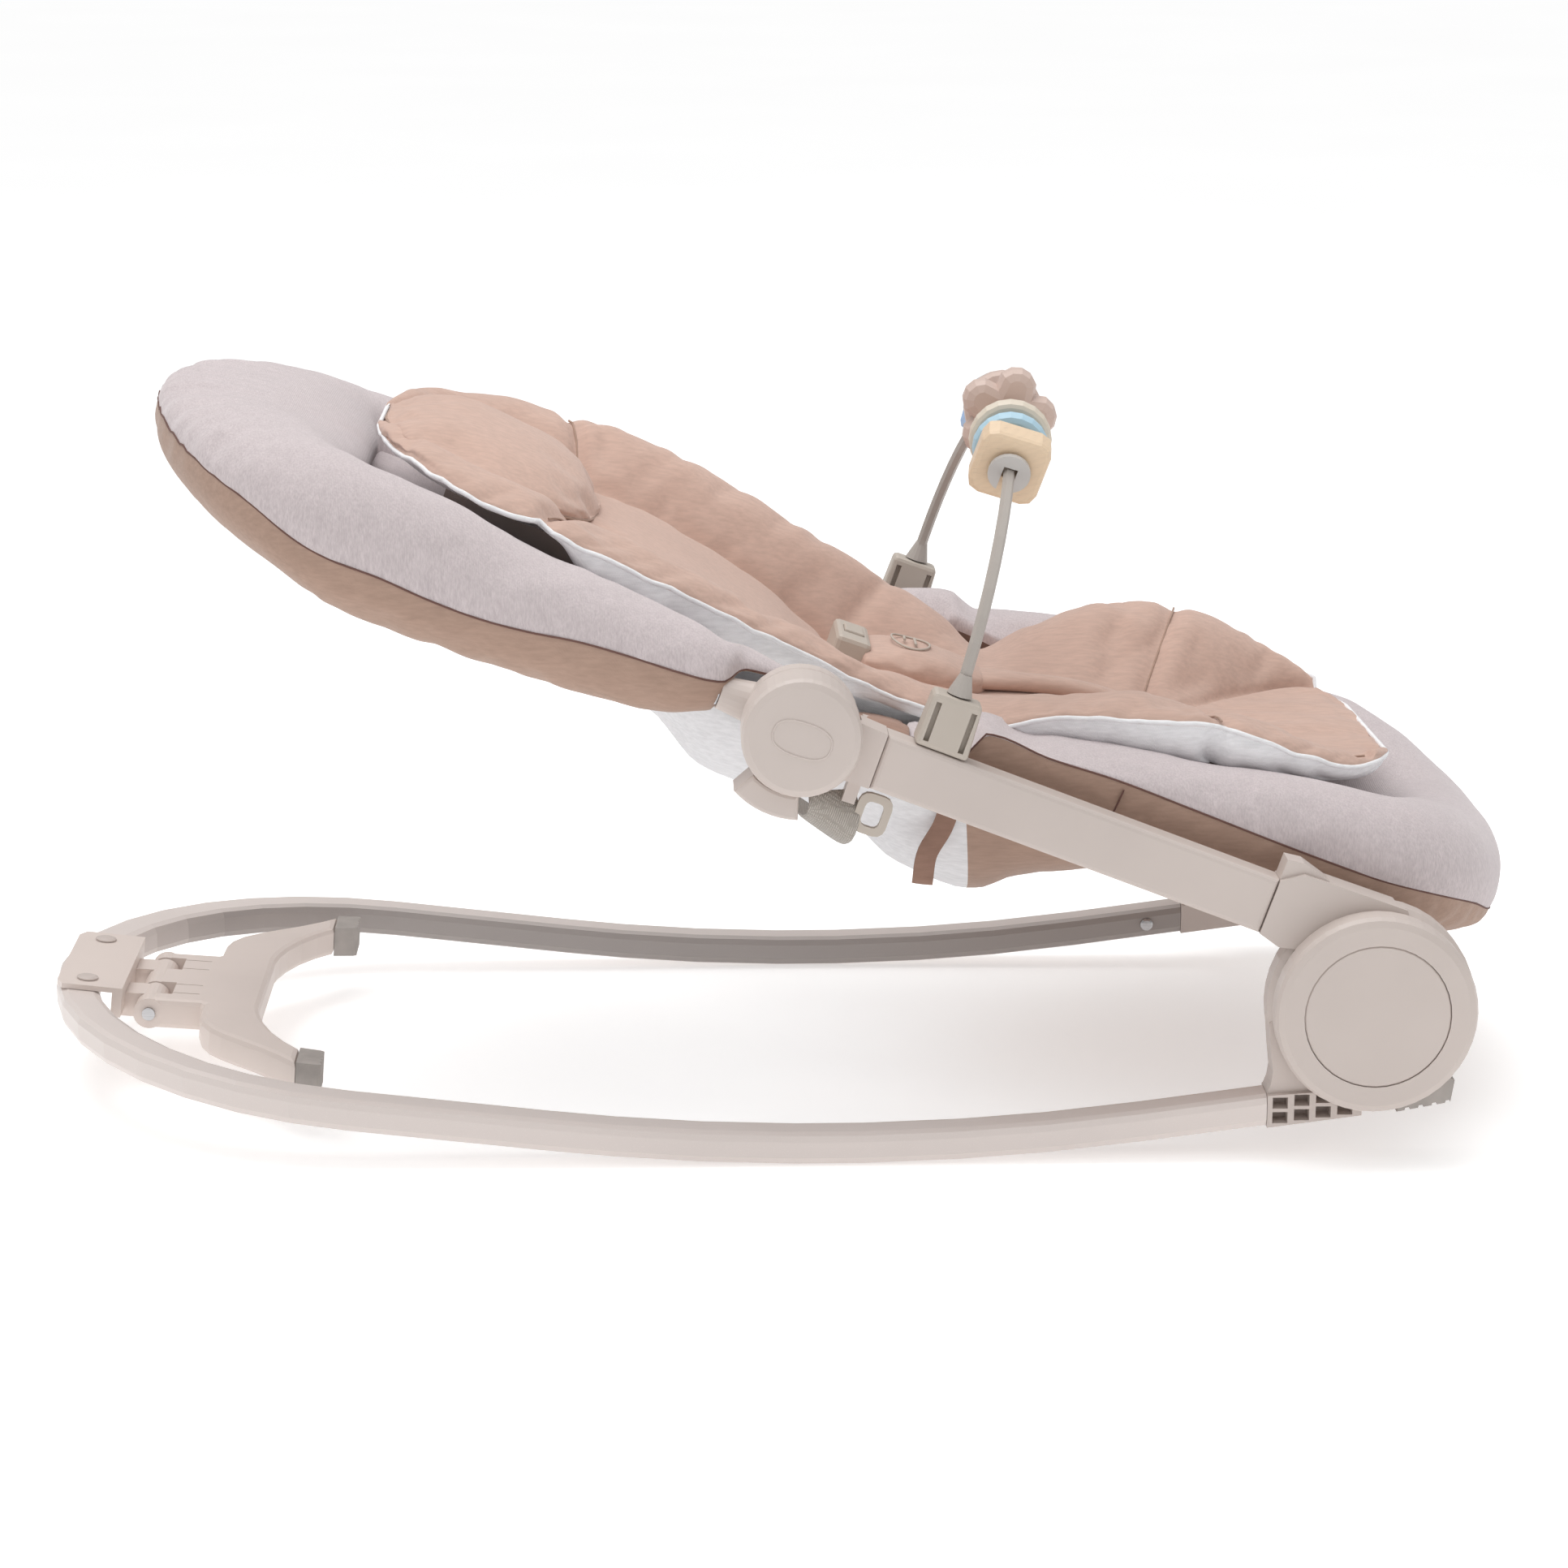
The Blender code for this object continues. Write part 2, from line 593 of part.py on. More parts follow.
def lower_housing():
    """Outer half of the fold joint with the arm that carries the rail."""
    obj = piece("lower_housing", disc(FOLD_PIVOT, DISC_R, 0.0005 - DISC_IN, -DISC_OUT, 44),
                "frame_plastic", "seat_frame")
    add_bevel(obj, 0.005, 2)
    u, n = FOLD_IN_SEAT.x, FOLD_IN_SEAT.z
    low, top = rail_low(RAIL_STOP), rail_top(RAIL_STOP)
    root = side_plate([(RAIL_STOP, low), (RAIL_STOP + 0.013, low - 0.004),
                       (RAIL_STOP + 0.034, low), (u + 0.004, n + DISC_R - 0.006),
                       (u - 0.002, n + DISC_R + 0.002), (RAIL_STOP + 0.012, top + 0.008),
                       (RAIL_STOP, top)], -RAIL_OUT, -RAIL_IN)
    boolean(obj, cutter("housing_root", root, "seat_frame", SEAT), "UNION")
    tab = side_plate([(RAIL_STOP, top - 0.004), (RAIL_STOP + 0.040, top - 0.004),
                      (RAIL_STOP + 0.040, top + 0.004), (RAIL_STOP + 0.010, 0.0190),
                      (RAIL_STOP, 0.0180)], -0.206, -0.190)
    boolean(obj, cutter("housing_tab", tab, "seat_frame", SEAT), "UNION")
    swing = disc(FOLD_PIVOT, HUB_R + 0.0008, -0.180, -DISC_IN, 48)
    boolean(obj, cutter("housing_swing", swing, "seat_frame"), "DIFFERENCE")
    recess = disc(FOLD_PIVOT, BUTTON_R + GAP, -RECESS_FLOOR, -0.240, 40)
    boolean(obj, cutter("housing_recess", recess, "seat_frame"), "DIFFERENCE")
    bore = disc(FOLD_PIVOT, AXLE_R + GAP, -0.200, -0.215, 24)
    boolean(obj, cutter("housing_bore", bore, "seat_frame"), "DIFFERENCE")
    return both_sides(obj, "lower_housing", "seat_frame")


def fold_button(side, name):
    top = DISC_OUT - 0.0002
    profile = [(0.0, 0.0), (BUTTON_R, 0.0), (BUTTON_R, BUTTON_T - 0.0008),
               (BUTTON_R - 0.0008, BUTTON_T), (0.0, BUTTON_T)]
    at = Matrix.Translation((FOLD_PIVOT.x, side * (top - BUTTON_T), FOLD_PIVOT.z))
    turn = Matrix.Rotation(math.radians(-90 * side), 4, "X")
    return piece("fold_button_" + name, turned(profile[::-1], 40), "frame_plastic",
                 "fold_button_" + name, at @ turn)


def fold_spring():
    """Short coil that pushes the fold button back out."""
    low, high, radius, wire, turns, steps = 0.2131, 0.2189, 0.020, 0.0007, 2, 12
    points = []
    for k in range(turns * steps + 1):
        a = 2 * math.pi * k / steps
        y = low + (high - low) * k / (turns * steps)
        points.append((FOLD_PIVOT.x + radius * math.cos(a), -y,
                       FOLD_PIVOT.z + radius * math.sin(a)))
    obj = piece("fold_spring", rod(points, wire, 0), "steel", "seat_frame")
    return both_sides(obj, "fold_spring", "seat_frame")


def upper_housing():
    """Outer half of the recline joint, the arm to the rail and the lug for the leg tube."""
    obj = piece("upper_housing", disc((0, 0), RECLINE_R, 0.0005 - CAP_IN, -CAP_OUT, 40),
                "frame_plastic", "seat_frame", SEAT)
    add_bevel(obj, 0.0045, 2)
    low, top = rail_low(RAIL_START), rail_top(RAIL_START)
    arm = side_plate([(0.0, low), (RAIL_START, low), (RAIL_START, top), (0.0, top + 0.004)],
                     -RAIL_OUT, -RAIL_IN)
    lug = box((0.0365, -0.190, -0.0070), (0.0470, -0.1550, 0.0090))
    hook = box((0.0365, -0.1990, -0.0335), (0.0440, -0.1880, -0.0150))
    for name, mesh in (("arm", arm), ("lug", lug), ("hook", hook)):
        boolean(obj, cutter("upper_" + name, mesh, "seat_frame", SEAT), "UNION")
    swing = disc((0, 0), RECLINE_R + 0.0008, -0.180, -CAP_IN, 40)
    boolean(obj, cutter("upper_swing", swing, "seat_frame", SEAT), "DIFFERENCE")
    spindle = disc((0, 0), 0.0080, -0.1880, -0.2050, 24)
    boolean(obj, cutter("upper_spindle", spindle, "seat_frame", SEAT), "UNION")
    return both_sides(obj, "upper_housing", "seat_frame")


def back_hub():
    """Inner half of the recline joint with the tapered socket for the back tube."""
    obj = piece("back_hub", disc((0, 0), RECLINE_R - 0.0005, -BACK_HUB_IN, -BACK_HUB_OUT, 36),
                "frame_plastic", "backrest", SEAT)
    add_bevel(obj, 0.0015, 1)
    bm = bmesh.new()
    bmesh.ops.create_cone(bm, cap_ends=True, segments=20, radius1=0.0095, radius2=0.0135,
                          depth=0.028)
    turn = Matrix.Rotation(math.radians(90), 4, "Y")
    bmesh.ops.transform(bm, matrix=Matrix.Translation((-0.0340, -0.1860, 0.0010)) @ turn,
                        verts=bm.verts)
    boolean(obj, cutter("back_socket", finish(bm), "backrest", SEAT), "UNION")
    bore = disc((0, 0), 0.0083, -0.170, -0.210, 24)
    boolean(obj, cutter("back_bore", bore, "backrest", SEAT), "DIFFERENCE")
    return both_sides(obj, "back_hub", "backrest")


def arc_points(centre, radius, start, stop, steps):
    angles = [math.radians(start + (stop - start) * k / steps) for k in range(steps + 1)]
    return [(centre[0] + radius * math.cos(a), centre[1] + radius * math.sin(a)) for a in angles]


def recline_lever():
    """Curved squeeze lever under the recline hub."""
    outer = arc_points((0, 0), 0.0500, 240, 287, 8)
    inner = arc_points((0, 0), 0.0356, 287, 240, 8)
    mesh = side_plate(outer + inner, -0.2200, -0.1920, 0.002, 1)
    obj = piece("recline_lever", mesh, "frame_plastic", "lever_left", SEAT)
    return both_sides(obj, "recline_lever", "lever_right")


def toy_socket():
    """Clip on the rail's top: a centre panel between two open slots, bored for the rod plug."""
    start, stop, high = TOY_U - 0.0160, TOY_U + 0.0160, 0.0450
    mesh = side_plate([(start, rail_top(start) + GAP), (stop, rail_top(stop) + GAP),
                       (stop - 0.002, high), (start + 0.001, high)], -0.2075, -0.1885)
    obj = piece("toy_socket", mesh, "frame_plastic", "seat_frame", SEAT)
    add_bevel(obj, 0.0025, 2)
    for side in (-1, 1):
        u = TOY_U + side * 0.0105
        for start, stop in ((-0.2110, -0.2030), (-0.1930, -0.1850)):
            slot = box((u - 0.0016, start, rail_top(u) + 0.004), (u + 0.0016, stop, high - 0.005))
            boolean(obj, cutter("slot", slot, "seat_frame", SEAT), "DIFFERENCE")
    bm = bmesh.new()
    bmesh.ops.create_cone(bm, cap_ends=True, segments=16, radius1=0.0042, radius2=0.0042,
                          depth=0.040)
    bmesh.ops.translate(bm, vec=(0, -ARCH_HALF, ARCH_FOOT - PLUG_DEPTH + 0.0193),
                        verts=bm.verts)
    boolean(obj, cutter("socket_bore", finish(bm), "seat_frame", TOY), "DIFFERENCE")
    return both_sides(obj, "toy_socket", "seat_frame")


# ---------------------------------------------------------------- soft goods
def section_ring(centre, outward, half_w, half_h, count=10, power=2.4):
    """One superellipse section across a bolster, in the plane of outward and n."""
    ring = []
    for k in range(count):
        a = 2 * math.pi * k / count
        c, s = math.cos(a), math.sin(a)
        x = math.copysign(abs(c) ** (2 / power), c) * half_w
        z = math.copysign(abs(s) ** (2 / power), s) * half_h
        ring.append(centre + outward * x + Vector((0, 0, z)))
    return ring


def bolster_rings(sign, start, bend, reach, half, width, low, top):
    """Rings of a U-shaped bolster. sign is -1 for the head and 1 for the legs; width, low and
    top are tables along u from the hinge end to the apex."""
    stations = []
    for k in range(6):
        u = start + (bend - start) * k / 6
        stations.append((u, half(u), 0.0))
    for k in range(9):
        a = math.pi / 2 * k / 8
        stations.append((bend + reach * math.sin(a), half(bend) * math.cos(a), a))
    left = []
    for u, y, a in stations:
        outward = Vector((sign * math.sin(a), -math.cos(a), 0))
        half_w = ramp(u, width) / 2
        bottom, crown = ramp(u, low), ramp(u, top)
        edge = Vector((sign * u, -y, (bottom + crown) / 2))
        left.append(section_ring(edge - outward * half_w, outward, half_w,
                                 (crown - bottom) / 2))
    right = [[Vector((p.x, -p.y, p.z)) for p in ring] for ring in reversed(left[:-1])]
    return left + right


def head_bolster():
    def half(u):
        return ramp(u, [(0.048, 0.202), (0.090, 0.196), (0.150, 0.190)])

    width = [(0.048, 0.032), (0.100, 0.060), (0.150, 0.072), (0.275, 0.076), (0.409, 0.100)]
    low = [(0.048, -0.0150), (0.100, -0.0270), (0.175, -0.0310), (0.300, -0.0280),
           (0.409, -0.0200)]
    top = [(0.048, 0.0230), (0.100, 0.0400), (0.155, 0.0480), (0.220, 0.0490), (0.300, 0.0570),
           (0.409, 0.0580)]
    mesh = loft(bolster_rings(-1, 0.048, 0.275, 0.134, half, width, low, top))
    obj = piece("head_bolster", mesh, "melange_jersey", "backrest", SEAT, smooth=80)
    thicken(obj, 0.005)
    return obj


def leg_bolster():
    def half(u):
        return ramp(u, [(0.060, 0.182), (0.120, 0.180), (0.340, 0.178)])

    width = [(0.060, 0.036), (0.120, 0.062), (0.200, 0.068), (0.340, 0.072), (0.463, 0.100)]
    low = [(0.060, -0.0120), (0.300, -0.0130), (0.463, -0.0150)]
    top = [(0.060, 0.0160), (0.120, 0.0260), (0.200, 0.0380), (0.250, 0.0480), (0.300, 0.0550),
           (0.463, 0.0620)]
    mesh = loft(bolster_rings(1, 0.060, 0.340, 0.1176, half, width, low, top))
    obj = piece("leg_bolster", mesh, "melange_jersey", "seat_frame", SEAT, smooth=80)
    thicken(obj, 0.005)
    return obj


def frame_tube(name, sign, start, bend, reach, ends, half, rise, radius, body_name):
    """U-shaped steel tube that the bolster's cover is sewn around."""
    level = 0.001
    left = [(sign * start, -ends, level), (sign * (start + 0.012), -ends, level)]
    for k in range(1, 5):
        u = start + 0.012 + (bend - start - 0.012) * k / 4
        ease = min(1.0, k / 2)
        left.append((sign * u, -(ends + (half - ends) * ease), level + rise * ease))
    for k in range(1, 9):
        a = math.pi / 2 * k / 8
        left.append((sign * (bend + reach * math.sin(a)), -half * math.cos(a), level + rise))
    points = left + [(x, -y, z) for x, y, z in reversed(left[:-1])]
    return piece(name, rod(points, radius, 1), "steel", body_name, SEAT)


def sling(name, stations, half, edge, centre, colour, body_name, thick, power, end_lean):
    """Fabric trough across the seat; the hinge end is cut back where it stands above the pivot."""
    first = stations[0]

    def place(u, t):
        w = ramp(abs(u), half)
        n_edge, n_mid = ramp(abs(u), edge), ramp(abs(u), centre)
        n = n_mid + (n_edge - n_mid) * abs(t) ** power
        if u == first:
            u += math.copysign(end_lean * max(n, 0.0), u)
        return (u, t * w, n)

    obj = piece(name, sheet(stations, 10, place), colour, body_name, SEAT, smooth=80)
    thicken(obj, thick, 0.0)
    return obj


def spaced(start, stop, count):
    return [start + (stop - start) * k / count for k in range(count + 1)]


def slings_and_liners():
    sling("back_sling", spaced(-0.003, -0.300, 9),
          [(0.0, 0.112), (0.220, 0.112), (0.300, 0.070)],
          [(0.0, -0.024), (0.300, -0.026)],
          [(0.009, -0.065), (0.038, -0.063), (0.068, -0.048), (0.120, -0.038), (0.300, -0.030)],
          "white_fabric", "backrest", 0.003, 2.5, 0.42)
    sling("seat_sling", spaced(0.003, 0.335, 12),
          [(0.0, 0.112), (0.250, 0.112), (0.335, 0.060)],
          [(0.0, -0.024), (0.335, -0.020)],
          [(0.009, -0.065), (0.064, -0.066), (0.091, -0.080), (0.118, -0.086), (0.139, -0.080),
           (0.168, -0.067), (0.200, -0.051), (0.260, -0.032), (0.335, -0.024)],
          "white_fabric", "seat_frame", 0.003, 2.5, 0.42)
    sling("back_liner", spaced(-0.003, -0.290, 9),
          [(0.0, 0.125), (0.050, 0.132), (0.100, 0.145), (0.150, 0.150), (0.240, 0.140),
           (0.270, 0.115), (0.290, 0.075)],
          [(0.0, 0.043), (0.050, 0.048), (0.100, 0.060), (0.150, 0.066), (0.290, 0.064)],
          [(0.0, -0.012), (0.050, 0.004), (0.100, 0.018), (0.175, 0.032), (0.240, 0.042),
           (0.290, 0.050)],
          "liner_fabric", "backrest", 0.012, 2.0, 0.42)
    sling("seat_liner", spaced(0.003, 0.352, 11),
          [(0.0, 0.122), (0.060, 0.108), (0.160, 0.106), (0.200, 0.116), (0.250, 0.128),
           (0.300, 0.130), (0.335, 0.105), (0.352, 0.060)],
          [(0.0, 0.043), (0.060, 0.026), (0.120, 0.022), (0.150, 0.030), (0.200, 0.046),
           (0.250, 0.062), (0.300, 0.071), (0.352, 0.076)],
          [(0.0, -0.012), (0.060, -0.022), (0.120, -0.022), (0.170, -0.008), (0.230, 0.020),
           (0.300, 0.048), (0.352, 0.066)],
          "liner_fabric", "seat_frame", 0.012, 2.0, 0.42)


def strap(path_yn, u_low, u_high, thick):
    """A flat strap of constant width along u that follows a path across y and n."""
    points = [Vector((y, n)) for y, n in path_yn]
    rings = []
    for i, point in enumerate(points):
        ahead = points[min(i + 1, len(points) - 1)] - points[max(i - 1, 0)]
        side = Vector((-ahead.y, ahead.x)).normalized() * thick / 2
        rings.append([(u_low, *(point - side)), (u_high, *(point - side)),
                      (u_high, *(point + side)), (u_low, *(point + side))])
    return loft(rings, caps=True)


def harness():
    """Crotch pad, its strap, the buckle with its button, and the side straps."""
    pad = box((0.0445, -0.034, 0.002), (0.1200, 0.034, 0.0240))
    obj = piece("crotch_pad", pad, "liner_fabric", "seat_frame", SEAT)
    add_bevel(obj, 0.008, 3)
    buckle = box((0.0220, -0.026, 0.002), (0.0440, 0.026, 0.0240))
    obj = piece("buckle_body", buckle, "grey_plastic", "seat_frame", SEAT)
    add_bevel(obj, 0.003, 2)
    well = box((0.0265, -0.0095, 0.0160), (0.0395, 0.0095, 0.0380))
    boolean(obj, cutter("buckle_well", well, "seat_frame", SEAT), "DIFFERENCE")
    button = box((0.0268, -0.0092, 0.0203), (0.0392, 0.0092, 0.0255))
    obj = piece("buckle_button", button, "grey_plastic", "buckle_button", SEAT)
    add_bevel(obj, 0.001, 2)
    rings = []
    for u, n in ((0.1203, 0.006), (0.150, 0.010), (0.185, 0.018), (0.215, 0.034), (0.235, 0.040)):
        rings.append([(u, -0.012, n - 0.003), (u, 0.012, n - 0.003), (u, 0.012, n + 0.003),
                      (u, -0.012, n + 0.003)])
    piece("crotch_strap", loft(rings, caps=True), "liner_fabric", "seat_frame", SEAT)
    waist = strap([(-0.1850, 0.006), (-0.170, 0.0185), (-0.150, 0.0200), (-0.132, 0.0110)],
                  0.050, 0.0570, 0.003)
    both_sides(piece("waist_strap", waist, "brown_fabric", "seat_frame", SEAT),
               "waist_strap", "seat_frame")
    anchor = strap([(-0.1960, -0.0350), (-0.1930, -0.0440), (-0.1800, -0.0510),
                    (-0.1350, -0.0540)], 0.0190, 0.0440, 0.0022)
    both_sides(piece("anchor_strap", anchor, "webbing", "seat_frame", SEAT),
               "anchor_strap", "seat_frame")
    outer = rounded_rectangle(0.020, 0.024, 0.006)
    inner = [(x * 0.55, y * 0.62) for x, y in rounded_rectangle(0.020, 0.024, 0.006)]
    ring = plate([outer, inner[::-1]], 0.004)
    ring.transform(Matrix.Translation((0.0560, -0.1960, -0.0360)) @ ALONG_Y)
    both_sides(piece("strap_slider", ring, "grey_plastic", "seat_frame", SEAT),
               "strap_slider", "seat_frame")


# ---------------------------------------------------------------- toy bar
def arch(y):
    """Height of the rod's centre line above its sockets."""
    return ARCH_FOOT + (ARCH_H - ARCH_FOOT) * math.sqrt(max(0.0, 1 - (y / ARCH_HALF) ** 2))


def arch_angle(y):
    return math.atan2(arch(y + 0.001) - arch(y - 0.001), 0.002)


def toy_rod():
    foot = (0, ARCH_HALF, ARCH_FOOT - PLUG_DEPTH)
    points = [(0, -ARCH_HALF, foot[2])]
    steps = 28
    for k in range(steps + 1):
        y = -ARCH_HALF * math.cos(math.pi * k / steps)
        points.append((0, y, arch(y)))
    points.append(foot)
    obj = piece("toy_rod", rod(points, ROD_R, 1), "grey_plastic", "toy_bar", TOY)
    for side in (-1, 1):
        bm = bmesh.new()
        bmesh.ops.create_cone(bm, cap_ends=True, segments=16, radius1=0.0075, radius2=0.0037,
                              depth=0.012)
        bmesh.ops.translate(bm, vec=(0, side * ARCH_HALF, 0.0040 + 0.006), verts=bm.verts)
        boolean(obj, cutter("rod_cone_%d" % side, finish(bm), "toy_bar", TOY), "UNION")
    return obj


def threaded(y):
    """Frame of a toy on the rod: local Z points along the rod towards -Y."""
    at = Matrix.Translation((0, y, arch(y)))
    return TOY @ at @ Matrix.Rotation(arch_angle(y), 4, "X") @ ALONG_Y


def bead(name, y, outline, thick, colour, bevel, hole=0.0064):
    mesh = plate(outline, thick, bevel, 1)
    obj = piece(name, mesh, colour, name, threaded(y))
    through = plate(circle(hole, 12), thick * 2)
    boolean(obj, cutter(name + "_hole", through, name, threaded(y)), "DIFFERENCE")
    return obj


def circle(radius, sides=20):
    return [(radius * math.cos(2 * math.pi * k / sides), radius * math.sin(2 * math.pi * k / sides))
            for k in range(sides)]


def flower(radius, depth, lobes=5, sides=30):
    points = []
    for k in range(sides):
        a = 2 * math.pi * k / sides
        r = radius - depth * (1 - abs(math.cos(lobes * a / 2)) ** 0.7)
        points.append((r * math.cos(a + math.pi / 2), r * math.sin(a + math.pi / 2)))
    return points


TOYS = [
    ("toy_wood_block", -0.0920, rounded_rectangle(0.042, 0.042, 0.008, 2), 0.018, "wood", 0.003),
    ("toy_pale_blue_ring", -0.0740, circle(0.0225), 0.011, "pale_blue", 0.004),
    ("toy_beige_ring", -0.0610, circle(0.0245), 0.010, "beige_plastic", 0.003),
    ("toy_wood_barrel", -0.0400, circle(0.0135, 20), 0.026, "wood", 0.002),
    ("toy_flower", -0.0120, flower(0.0300, 0.0100), 0.020, "pink_plastic", 0.006),
    ("toy_pink_ring", 0.0150, circle(0.0235), 0.020, "pink_plastic", 0.006),
    ("toy_grey_ring", 0.0400, circle(0.0215), 0.010, "washer_grey", 0.003),
    ("toy_blue_block", 0.0850, rounded_rectangle(0.027, 0.027, 0.005, 2), 0.026, "mid_blue",
     0.003),
]


def toy_washer():
    """Slotted stop at the near end of the toys, held on the rod."""
    y = -0.1040
    mesh = plate(circle(0.0125, 24), 0.003)
    obj = piece("toy_washer", mesh, "washer_grey", "toy_bar", threaded(y))
    slot = box((-0.0042, -0.0200, -0.01), (0.0042, 0.0042, 0.01))
    boolean(obj, cutter("washer_slot", slot, "toy_bar", threaded(y)), "DIFFERENCE")
    return obj


# ---------------------------------------------------------------- assembly
def make_bodies():
    body("base", Vector((0, 0, 0)))
    body("kickstand", STAND_PIN, "base")
    body("seat_frame", FOLD_PIVOT, "base")
    body("backrest", RECLINE_PIVOT, "seat_frame")
    for side, name in ((-1, "left"), (1, "right")):
        centre = Vector((FOLD_PIVOT.x, side * DISC_OUT, FOLD_PIVOT.z))
        body("fold_button_" + name, centre, "seat_frame")
        body("lever_" + name, RECLINE_PIVOT, "seat_frame")
    body("buckle_button", SEAT @ Vector((0.033, 0, 0.023)), "seat_frame")
    body("toy_bar", TOY @ Vector((0, 0, 0)), "seat_frame")
    for name, y, *rest in TOYS:
        body(name, threaded(y) @ Vector((0, 0, 0)), "toy_bar")


def build():
    make_bodies()
    base_tube()
    base_hub()
    tube_screws()
    rear_foot()
    fold_axle()
    bend_bracket()
    bracket_rivets()
    kickstand_pin()
    kickstand()
    kickstand_feet()
    side_rail()
    lower_housing()
    fold_button(-1, "left")
    fold_button(1, "right")
    fold_spring()
    upper_housing()
    back_hub()
    recline_lever()
    toy_socket()
    head_bolster()
    leg_bolster()
    frame_tube("back_tube", -1, 0.0485, 0.2750, 0.096, 0.186, 0.165, 0.004, 0.0080, "backrest")
    frame_tube("leg_tube", 1, 0.0475, 0.3400, 0.084, 0.164, 0.150, 0.016, 0.0075, "seat_frame")
    slings_and_liners()
    harness()
    toy_rod()
    toy_washer()
    for name, y, outline, thick, colour, bevel in TOYS:
        bead(name, y, outline, thick, colour, bevel)


build()
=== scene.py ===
"""Looks of the baby bouncer seat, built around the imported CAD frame.

Seat frame used throughout: u runs down the rails from the recline pivot towards the legs,
y across, n square to the rails. Lengths are metres.
"""
import math

import bmesh
import bpy
import numpy as np
from mathutils import Matrix, Vector, noise


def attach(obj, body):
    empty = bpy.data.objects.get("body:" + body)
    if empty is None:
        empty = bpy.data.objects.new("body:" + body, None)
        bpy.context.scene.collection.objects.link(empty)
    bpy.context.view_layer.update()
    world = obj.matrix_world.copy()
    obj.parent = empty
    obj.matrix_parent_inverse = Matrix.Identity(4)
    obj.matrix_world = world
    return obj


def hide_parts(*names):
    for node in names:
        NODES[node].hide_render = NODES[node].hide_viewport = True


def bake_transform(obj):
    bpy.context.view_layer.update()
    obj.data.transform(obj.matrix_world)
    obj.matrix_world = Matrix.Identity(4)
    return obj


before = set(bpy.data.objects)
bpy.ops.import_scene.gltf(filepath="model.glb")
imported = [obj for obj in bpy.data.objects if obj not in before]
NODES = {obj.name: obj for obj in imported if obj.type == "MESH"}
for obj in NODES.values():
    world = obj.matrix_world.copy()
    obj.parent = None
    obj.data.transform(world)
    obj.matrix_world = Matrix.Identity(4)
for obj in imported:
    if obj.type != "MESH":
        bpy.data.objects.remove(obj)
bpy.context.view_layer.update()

SCENE = bpy.context.scene

SLOPE = math.radians(19.4)
PIVOT = Vector((0.0068, 0.0, 0.2590))
SEAT = Matrix.Translation(PIVOT) @ Matrix.Rotation(SLOPE, 4, "Y")

# ------------------------------------------------------------------ camera, light, floor
camera = bpy.data.objects.new("camera", bpy.data.cameras.new("camera"))
SCENE.collection.objects.link(camera)
camera.location = (-0.0635, -2.3446, 0.7762)
camera.rotation_euler = (math.radians(75.605), 0.0, math.radians(-1.631))
camera.data.lens = 90.0
camera.data.sensor_width = 36.0
SCENE.camera = camera

SCENE.view_settings.view_transform = "Standard"

SKY_STRENGTH = 0.78
HORIZON_GREY = 0.29


def studio_sky():
    """White overhead, greyer towards the horizon, so that upright faces fall off softly."""
    world = bpy.data.worlds.new("studio")
    SCENE.world = world
    world.use_nodes = True
    tree = world.node_tree
    direction = tree.nodes.new("ShaderNodeTexCoord")
    split = tree.nodes.new("ShaderNodeSeparateXYZ")
    lift = tree.nodes.new("ShaderNodeValToRGB")
    horizon, overhead = lift.color_ramp.elements
    horizon.position, horizon.color = 0.05, (HORIZON_GREY,) * 3 + (1,)
    overhead.position, overhead.color = 0.75, (1, 1, 1, 1)
    tree.links.new(direction.outputs["Generated"], split.inputs["Vector"])
    tree.links.new(split.outputs["Z"], lift.inputs["Fac"])
    background = tree.nodes["Background"]
    tree.links.new(lift.outputs["Color"], background.inputs["Color"])
    background.inputs["Strength"].default_value = SKY_STRENGTH


def area_light(name, place, target, size, power):
    data = bpy.data.lights.new(name, "AREA")
    data.shape = "SQUARE"
    data.size = size
    data.energy = power
    obj = bpy.data.objects.new(name, data)
    SCENE.collection.objects.link(obj)
    obj.location = place
    aim = Vector(target) - Vector(place)
    obj.rotation_euler = aim.to_track_quat("-Z", "Y").to_euler()


studio_sky()
area_light("top_light", (-0.3, 0.2, 2.6), (0.0, 0.0, 0.1), size=2.2, power=36.0)
area_light("front_light", (-0.7, -2.2, 2.1), (0.0, 0.0, 0.1), size=1.5, power=5.0)


